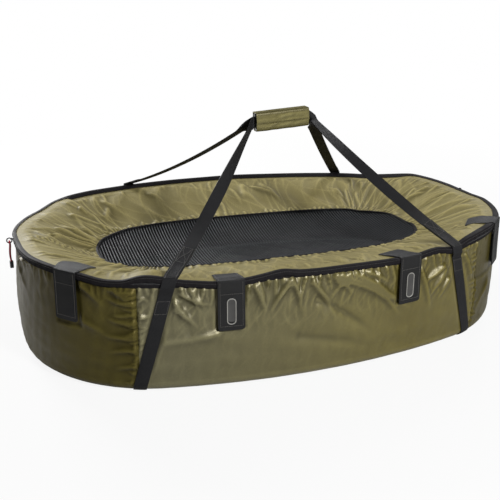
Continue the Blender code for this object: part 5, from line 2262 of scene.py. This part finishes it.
def choose(piece: Piece, kind: str, wanted: Callable[[object], bool]) -> None:
    """Select only the faces or edges that are wanted, in edit mode.

    Args:
        piece: The piece.
        kind: Either faces or edges.
        wanted: Tells whether a face or edge is meant.
    """
    mesh = bmesh.from_edit_mesh(piece.data)
    for part in (*mesh.verts, *mesh.edges, *mesh.faces):
        part.select_set(False)
    for part in getattr(mesh, kind):
        if wanted(part):
            part.select_set(True)
    mesh.select_flush_mode()
    bmesh.update_edit_mesh(piece.data)


def dent(piece: Piece, wanted: Callable[[bmesh.types.BMFace], bool], *steps: Pair) -> None:
    """Press a rim into faces, and stay in edit mode.

    Args:
        piece: The piece.
        wanted: Tells whether a face is meant.
        steps: The width and depth of each inset, one after another.
    """
    bpy.ops.object.mode_set(mode="EDIT")
    choose(piece, "faces", wanted)
    for width, depth in steps:
        bpy.ops.mesh.inset(thickness=width, depth=depth)


def rounded_block(name: str, size: Triple, corner: float, finish: HardFinish) -> Piece:
    """Return a block at the origin whose four edges along its depth are rounded.

    Args:
        name: The object's name.
        size: Its width, depth and height.
        corner: The radius of the four edges.
        finish: Its finish.

    Returns:
        The new object.
    """
    bpy.ops.object.select_all(action="DESELECT")
    bpy.ops.mesh.primitive_cube_add(size=1.0, location=(0.0, 0.0, 0.0))
    block = bpy.context.object
    block.name = name
    block.scale = size
    bpy.ops.object.transform_apply(location=False, rotation=False, scale=True)
    bpy.ops.object.mode_set(mode="EDIT")
    bpy.context.tool_settings.mesh_select_mode = (False, True, False)
    choose(block, "edges", lambda edge: abs((edge.verts[1].co - edge.verts[0].co).normalized().y) > 0.9)
    bpy.ops.mesh.bevel(offset=corner, offset_type="OFFSET", segments=8, affect="EDGES")
    bpy.context.tool_settings.mesh_select_mode = (False, False, True)
    bpy.ops.object.mode_set(mode="OBJECT")
    block.data.materials.append(Finishes.get(finish))
    return block


def hoop(name: str, radius: float, wire: float, segments: Pair, frame: Matrix) -> Piece:
    """Return a metal ring.

    Args:
        name: The object's name.
        radius: The ring's radius.
        wire: Its wire's radius.
        segments: Its segments round the ring and round the wire.
        frame: The frame that it lies in.

    Returns:
        The new object.
    """
    bpy.ops.object.select_all(action="DESELECT")
    bpy.ops.mesh.primitive_torus_add(major_radius=radius, minor_radius=wire, major_segments=segments[0],
                                     minor_segments=segments[1])
    ring = bpy.context.object
    ring.name = name
    ring.data.transform(frame)
    ring.data.materials.append(Finishes.get(Finishes.METAL))
    ring.data.shade_smooth()
    return ring


def finish_edges(piece: Piece, width: float) -> None:
    """Round a rigid piece's sharp edges and shade it smooth."""
    bevelled(piece, width, 2, 40.0)
    bpy.ops.object.shade_smooth_by_angle(angle=math.radians(35))


# The carry straps and the grip


@dataclass
class Carry:
    """The free legs and runs of the carry straps, and the padded grip that joins them."""

    length: float = 0.147
    height: float = 0.047
    depth: float = 0.027
    corner: float = 0.007
    lip_share: float = 0.46
    flap_share: float = 0.6
    place: Triple = (0.052, 0.0, 0.5225)
    tilt: float = math.radians(2.6)
    steps: int = 90
    run_half: float = 0.0765
    leg_end: float = 0.0768
    apart: float = 0.00115
    bows: tuple[tuple[str, float, float], ...] = (
        ("front_left", -0.045, -0.025), ("front_right", -0.035, -0.03), ("back_left", -0.045, -0.045),
        ("back_right", -0.015, -0.02))
    twists: tuple[tuple[str, float, float, float, float, float], ...] = (
        ("front_left", 0.15, 0.97, 0.96, 0.0, 0.76), ("front_right", 0.8, 1.2, 0.96, 0.8, 0.76),
        ("back_left", -0.05, 0.06, 0.9, 0.0, 0.46), ("back_right", 0.9, 1.3, 0.8, 0.0, 0.76))
    edge_way: Triple = (0.334, 0.879, -0.34)

    def build(self) -> None:
        """Make the legs, the runs and the grip."""
        self.frame = Matrix.Translation(self.place) @ Matrix.Rotation(-self.tilt, 4, "Y")
        sewing = {False: [], True: []}
        for strap in STRAPS:
            sewing[strap.back] += self.make_leg(strap)
        for back in (False, True):
            word = "back" if back else "front"
            body = f"strap_{word}"
            sew(f"leg_stitches_{word}", sewing[back], Finishes.PALE_THREAD, LEG_STITCH, body)
            self.make_run(back)
        self.make_grip()

    def turned(self, way: Triple) -> Array:
        """Return a direction of the grip's own frame in the mat's frame."""
        return np.array(self.frame.to_3x3() @ Vector(way))

    def placed(self, local: Array) -> Array:
        """Return points of the grip's own frame in the mat's frame."""
        return local @ np.array(self.frame.to_3x3()).T + np.array(self.place)

    def leg_rows(self, strap: StrapLine, shares: Array) -> Array:
        """Return a leg's middle surface, from its stitches on the wall up to the grip.

        Args:
            strap: The strap's line on the wall.
            shares: Places across the webbing.

        Returns:
            Rows of points.
        """
        way = 1 if strap.back else -1
        side = strap.side.value
        wave = float(LID_WAVE.at(strap.middle(LEVEL.rim)))
        held = LEVEL.cover_inset - LEVEL.gap - LEVEL.web / 2
        clear = -LEVEL.tab_in - LEVEL.web / 2
        low, high = 0.2574 + wave, 0.2737 + wave
        line = [(held, 0.2293), (held, 0.2313)]
        line += [(held + (clear - held) * float(smooth(t)), 0.2313 + (low - 0.2313) * t)
                 for t in np.linspace(0.1, 1, 9)]
        line += [(clear, low + (high - low) * t) for t in (0.33, 0.66, 1.0)]
        rows = [strap.row(inset, z, shares) for inset, z in line]
        edge = strap.row(clear, high, np.array([-0.5, 0.5]))
        across = edge[1] - edge[0]
        start = edge.mean(0)
        end = np.array(self.frame @ Vector((side * self.leg_end, way * self.apart, 0.0)))
        lead = end + self.turned((side * 0.003, 0.0, 0.0))
        upward = self.turned((0.0, 0.0, strap.width))
        span = lead - start
        if np.cross(across, span) @ self.turned((0.0, way, 0.0)) * side * way > 0:
            across = -across
            rows = [row[::-1] for row in rows]
        size = float(np.linalg.norm(span))
        first, second = next((a, b) for name, a, b in self.bows if name == strap.word)
        begin, full, last, facing, most = next(row[1:] for row in self.twists if row[0] == strap.word)
        view = np.array(self.edge_way)
        deep = view * strap.width * (-1 if across @ view < 0 else 1)
        sags = (UP * size * first, UP * size * second)
        knots = (start, start + span / 3 + sags[0], start + span * 2 / 3 + sags[1], lead)
        for i in range(1, self.steps + 1):
            t = i / self.steps
            place = bezier(knots, t)
            tangent = bezier(knots, min(t + 0.01, 1.0)) - bezier(knots, t - 0.01)
            tangent /= np.linalg.norm(tangent)
            turned = most * float(smooth((t - begin) / (full - begin)))
            blend = float(smooth((t - last) / (1 - last)))
            width = (across * (1 - turned) + deep * turned) * (1 - blend) + upward * blend
            width = width - view * (width @ view) * facing * math.sin(math.pi * min(t * 1.1, 1.0))
            width = width - tangent * (width @ tangent) * min(1.0, (1 - t) * 4)
            width *= strap.width / np.linalg.norm(width)
            rows.append(place + width * shares[:, None])
        rows += [(end * k + lead * (1 - k)) + upward * shares[:, None] for k in (0.5, 1.0)]
        return np.array(rows)

    def make_leg(self, strap: StrapLine) -> list[tuple[Array, Array]]:
        """Make one leg with its second layer, and return the lines to sew on it.

        Args:
            strap: The strap's line on the wall.

        Returns:
            Each line of stitches and the directions away from the webbing.
        """
        shares = WEB_SHARES
        grid = self.oriented(self.leg_rows(strap, shares), shares, strap)
        leg = grid.sheet(f"leg_webbing_{strap.word}", LEVEL.web, Finishes.WEBBING)
        body = f"strap_{'back' if strap.back else 'front'}"
        place_piece(leg, body, (f"strap_leg_{strap.word}",))
        normals = grid.normals()
        last = 14 + int(self.steps * (0.12 if strap.back else 0.19))
        upper = Grid(grid.points[13:last] + normals[13:last] * 0.0021, grid.uv[13:last])
        layer = upper.sheet(f"leg_layer_{strap.word}", 0.0018, Finishes.WEBBING)
        place_piece(layer, body)
        lift = upper.points + normals[13:last] * 0.0011
        up = normals[13:last]
        box = self.box(lift, up, len(lift) - 9, len(lift) - 1)
        paths = [(np.array(path), np.array(rise)) for path, rise in box]
        paths += [(lift[:, k], up[:, k]) for k in (1, -2)]
        return paths

    def oriented(self, rows: Array, shares: Array, strap: StrapLine) -> Grid:
        """Return the rows as a grid whose normals point away from the mat.

        Args:
            rows: The rows of points.
            shares: Places across the webbing.
            strap: The strap's line on the wall.

        Returns:
            The middle surface.
        """
        run = running(step_lengths(rows[:, 4]))
        uv = crossed(shares * strap.width, run)
        grid = Grid(rows, uv)
        outward = OUTLINE.axes(strap.middle(0.25))[1]
        if grid.normals()[6, 4] @ outward < 0:
            return Grid(rows[:, ::-1], uv[:, ::-1])
        return grid

    @staticmethod
    def box(points: Array, up: Array, first: int, last: int) -> list[tuple[list, list]]:
        """Return the lines of a sewn box with a cross in it, between two rows of a strap.

        Args:
            points: The strap's rows of points.
            up: The normal at each.
            first: The box's first row.
            last: Its last row.

        Returns:
            Each line's points and normals.
        """
        wide = points.shape[1] - 2
        rows = np.arange(first, last + 1)
        lines = [[(first, c) for c in range(1, wide + 1)], [(last, c) for c in range(1, wide + 1)]]
        for a, b in ((1, wide), (wide, 1)):
            lines.append([(int(r), int(round(a + (b - a) * (r - first) / (last - first)))) for r in rows])
        return [([points[r, c] for r, c in line], [up[r, c] for r, c in line]) for line in lines]

    def make_run(self, back: bool) -> None:
        """Make the webbing that runs through the grip.

        Args:
            back: Whether it belongs to the back strap.
        """
        word = "back" if back else "front"
        way = 1 if back else -1
        x = np.linspace(-self.run_half, self.run_half, 40)
        grid_x, grid_z = np.meshgrid(x, np.linspace(-0.015, 0.015, 9))
        local = np.stack([grid_x, np.full(grid_x.shape, way * self.apart), grid_z], -1)
        points = self.placed(local)
        uv = np.stack([grid_z, grid_x], -1)
        run = Grid(points, uv).sheet(f"run_webbing_{word}", 0.0019, Finishes.WEBBING)
        place_piece(run, f"strap_{word}", (f"strap_run_{word}",))

    def across_grip(self, line: list[Pair], pillow: float, seed: int) -> Grid:
        """Return a sheet as long as the grip whose section is a line, swollen a little between its ends.

        Args:
            line: The section's corners.
            pillow: How far it swells.
            seed: The seed of its creases.

        Returns:
            The middle surface.
        """
        corners = np.array(line)
        run = running(step_lengths(corners))
        at = np.linspace(0.0, run[-1], max(int(run[-1] / 0.0022), 8))
        section = at_run(at, run, corners)
        ahead = np.gradient(section, axis=0)
        normal = np.stack([ahead[:, 1], -ahead[:, 0]], -1)
        normal /= np.linalg.norm(normal, axis=1, keepdims=True)
        centre = section.mean(0)
        flip = np.sign(((section - centre) * normal).sum(1).mean())
        x = np.linspace(-self.length / 2, self.length / 2, 60)
        grid_x, grid_v = np.meshgrid(x, at)
        swell = pillow * np.sin(math.pi * np.clip(x / self.length + 0.5, 0, 1))[None] ** 0.5
        crease = 0.0009 * ripple(seed, grid_x, grid_v * 2.0, 0.03)
        ends = np.sin(math.pi * np.clip(at / at[-1], 0, 1))[:, None] ** 0.3
        lift = (swell + crease * swell / pillow) * ends
        place = section[:, None] + normal[:, None] * (flip * lift)[..., None]
        local = np.stack([grid_x, place[..., 0], place[..., 1]], -1)
        points = self.placed(local)
        return Grid(points, np.stack([grid_x, grid_v], -1))

    def make_grip(self) -> None:
        """Make the grip: its foam, its wrap and the flap that closes it."""
        depth, half, r = self.depth / 2, self.height / 2, self.corner
        lip = self.height * self.lip_share - half
        cloth = LEVEL.cloth
        mid = cloth / 2
        turn = np.linspace(0.0, math.pi / 2, 7)
        front = [(-depth + r - (r - mid) * math.cos(t), -half + r - (r - mid) * math.sin(t)) for t in turn]
        back = [(depth - r + (r - mid) * math.sin(t), -half + r - (r - mid) * math.cos(t)) for t in turn]
        wrap = [(-depth + mid, lip), *front, *back, (depth - mid, half)]
        cover = self.across_grip(wrap, 0.0008, 5).sheet("grip_wrap", cloth, Finishes.GRIP)
        place_piece(cover, "strap_back", ("grip_cover",))
        self.make_grip_foam(depth - cloth - 0.0004, half - cloth - 0.0004, lip)
        foot = half - self.height * self.flap_share
        out = depth + 0.0003 + mid
        top = half + 0.0003 + mid
        arc = [(-out + 0.004 - 0.004 * math.sin(t), top - 0.004 + 0.004 * math.cos(t)) for t in turn]
        closing = [(depth, top), (depth - 0.004, top), *arc, (-out, foot)]
        flap = self.across_grip(closing, 0.0012, 8).sheet("grip_closing_flap", cloth, Finishes.GRIP)
        place_piece(flap, "grip_flap", ("grip_flap",))
        self.sew_grip(closing)

    def make_grip_foam(self, depth: float, half: float, lip: float) -> None:
        """Make the grip's foam, one slab each side of the webbing and one under it.

        Args:
            depth: Half its depth.
            half: Half its height.
            lip: The height of its front edge.
        """
        slot = 0.0027
        section = [(-depth, lip), (-depth, -half + 0.006), (-depth + 0.006, -half), (depth - 0.006, -half),
                   (depth, -half + 0.006), (depth, half), (slot, half), (slot, -0.0154), (-slot, -0.0154),
                   (-slot, lip)]
        reach = self.length / 2 - 0.001
        local = np.array([[(x, y, z) for y, z in section] for x in np.linspace(-reach, reach, 24)])
        fan = ((0, 1, 8, 9), (1, 2, 7, 8), (2, 3, 4, 7), (4, 5, 6, 7))
        faces = rod_faces(24, len(section), fan)
        flat = self.placed(local).reshape(-1, 3)
        foam = solid("grip_foam", flat, faces, flat[:, :2], faces, Finishes.FOAM)
        repair(foam)
        place_piece(foam, "strap_back", ("grip_pad",))

    def sew_grip(self, closing: list[Pair]) -> None:
        """Sew the flap's free edge and the wrap's lower edges.

        Args:
            closing: The corners of the flap's section.
        """
        x = np.linspace(-self.length / 2 + 0.003, self.length / 2 - 0.003, 40)
        out, foot = self.depth / 2, closing[-1][1]
        low = 0.009 - self.height / 2
        jobs = (
            ("grip_flap", "flap",
             ((-out - 0.0031, foot + 0.0028, -1.0), (-out - 0.0029, foot + 0.024, -1.0))),
            ("strap_back", "wrap", ((-out - 0.0006, low, -1.0), (out + 0.0006, low, 1.0))),
        )
        for body, word, lines in jobs:
            paths = []
            for y, z, way in lines:
                local = np.stack([x, np.full(40, y), np.full(40, z)], -1)
                paths.append((self.placed(local), np.tile(self.turned((0.0, way, 0.0)), (40, 1))))
            sew(f"grip_stitches_{word}", paths, Finishes.OLIVE_THREAD, FINE_STITCH, body)


def repair(piece: Piece) -> None:
    """Turn a closed mesh's faces outward.

    Args:
        piece: The piece.
    """
    mesh = bmesh.new()
    mesh.from_mesh(piece.data)
    bmesh.ops.recalc_face_normals(mesh, faces=mesh.faces)
    mesh.to_mesh(piece.data)
    mesh.free()


def bezier(knots: tuple[Array, ...], t: float) -> Array:
    """Return a cubic curve's point.

    Args:
        knots: Its four knots.
        t: The share of the way along it.

    Returns:
        The point.
    """
    a, b, c, d = knots
    u = 1 - t
    return a * u**3 + b * 3 * u * u * t + c * 3 * u * t * t + d * t**3


# The zip's sliders, rings and red pull cord


@dataclass
class ZipPull:
    """One slider with its eye and ring, and on the left the red pull cord."""

    side: Side
    place: float = 0.02
    end_radius: float = 1.2795
    ring: float = 0.0062
    wire: float = 0.0015
    tilt: float = math.radians(35)
    spread: float = 0.0042
    loop: float = 0.046

    def build(self) -> None:
        """Make the slider, its ring and the cord."""
        turn = math.asin(self.place / self.end_radius)
        self.s = OUTLINE.at_angle(turn if self.side is Side.RIGHT else math.pi - turn)
        self.rise = float(BAND_WAVE.at(self.s))
        self.make_slider()
        self.make_ring()
        if self.side is Side.LEFT:
            self.make_cord()

    def make_slider(self) -> None:
        """Cast the slider: a plate with rounded corners over the teeth, with an eye on it."""
        word = self.side.word
        plate = rounded_block(f"zip_body_{word}", (0.012, 0.0018, 0.0082), 0.0022, Finishes.METAL)
        dent(plate, lambda face: face.normal.y > 0.9, (0.0011, 0.0007))
        bpy.ops.object.mode_set(mode="OBJECT")
        finish_edges(plate, 0.0003)
        plate.data.transform(standing(self.s, 0.0041, 0.2651 + self.rise))
        hoop("eye", 0.0036, 0.0011, (28, 10), standing(self.s, 0.0074, LEVEL.rim + self.rise))
        plate.select_set(True)
        bpy.context.view_layer.objects.active = plate
        bpy.ops.object.join()
        place_piece(plate, f"slider_{word}", (f"zip_slider_{word}",))

    def ring_frame(self) -> Matrix:
        """Return the frame in whose Y and Z the ring stands."""
        out = 0.0049 + self.wire * 2.5 + self.ring * math.cos(self.tilt)
        return standing(self.s, out, LEVEL.rim + self.rise - self.ring * math.sin(self.tilt))

    def make_ring(self) -> None:
        """Bend the pull ring."""
        word = self.side.word
        frame = self.ring_frame() @ Matrix.Rotation(math.pi / 2, 4, "Y")
        ring = hoop(f"zip_ring_{word}", self.ring, self.wire, (40, 12), frame)
        place_piece(ring, f"pull_{word}", (f"pull_ring_{word}",))

    def make_cord(self) -> None:
        """Make the red cord looped through the ring, and the moulded end that holds it."""
        radius = 0.0023
        low = radius + self.wire + 0.0003 - self.spread - self.ring
        foot = low - self.loop
        share = np.linspace(0.0, 1.0, 22)[:-1]
        bend = 0.0016 * np.sin(share * math.pi * 1.3)
        x = 0.0024 + (self.spread - 0.0024) * smooth(share)
        right = np.stack([x + bend * 0.4, bend, foot - 0.004 + (self.loop + 0.004) * share], -1)
        turn = np.linspace(0.0, math.pi, 15)
        top = np.stack([self.spread * np.cos(turn), 0 * turn, low + self.spread * np.sin(turn)], -1)
        left = np.stack([-x + bend * 0.3, bend * 0.8, right[:, 2]], -1)[::-1]
        path = np.concatenate([right, top, left])
        frame = np.array(self.ring_frame())
        path = path @ frame[:3, :3].T + frame[:3, 3]
        cord = tube("red_pull_cord", path, radius, Finishes.CORD)
        place_piece(cord, "pull_left", ("pull_cord",))
        end = rounded_block("cord_end", (0.0118, 0.0078, 0.019), 0.0042, Finishes.PLASTIC)
        dent(end, lambda face: abs(face.normal.y) > 0.9, (0.0016, 0.0005))
        bpy.ops.object.mode_set(mode="OBJECT")
        finish_edges(end, 0.0005)
        end.data.transform(self.ring_frame() @ Matrix.Translation((0.0, 0.0, foot - 0.0003 - 0.0095)))
        place_piece(end, "pull_left", ("pull_cord_end",))


def tube(name: str, path: Array, radius: float, finish: ClothFinish) -> Piece:
    """Return a round cord along a path, closed at both ends.

    Args:
        name: The object's name.
        path: Its middle line.
        radius: Its radius.
        finish: Its finish.

    Returns:
        The new object.
    """
    tangent = np.gradient(path, axis=0)
    tangent /= np.linalg.norm(tangent, axis=1, keepdims=True)
    side = np.cross(tangent[0], [0.0, 0.0, 1.0])
    if np.linalg.norm(side) < 0.1:
        side = np.cross(tangent[0], [0.0, 1.0, 0.0])
    sides = []
    for step in tangent:
        side = side - step * (side @ step)
        side /= np.linalg.norm(side)
        sides.append(side)
    side = np.array(sides)
    other = np.cross(tangent, side)
    turn = 2 * math.pi * np.arange(CORD_SIDES) / CORD_SIDES
    ring = side[:, None] * np.cos(turn)[:, None] + other[:, None] * np.sin(turn)[:, None]
    points = (path[:, None] + ring * radius).reshape(-1, 3)
    faces = rod_faces(len(path), CORD_SIDES, ((0, 1, 2, 3), (0, 3, 4, 7), (4, 5, 6, 7)))
    run = running(step_lengths(path))
    uv = np.stack([np.tile(turn * radius, len(path)), np.repeat(run, CORD_SIDES)], -1)
    cord = solid(name, points, faces, uv, faces, finish)
    repair(cord)
    return cord


def main() -> None:
    """Build the studio and the mat."""
    logging.basicConfig(level=logging.INFO, format="%(name)s: %(message)s")
    Studio().build()
    Tub().build()
    Lid().build()
    for spot in TABS:
        TabFlap(spot).build()
    Carry().build()
    for side in Side:
        ZipPull(side).build()


if __name__ == "__main__":
    main()
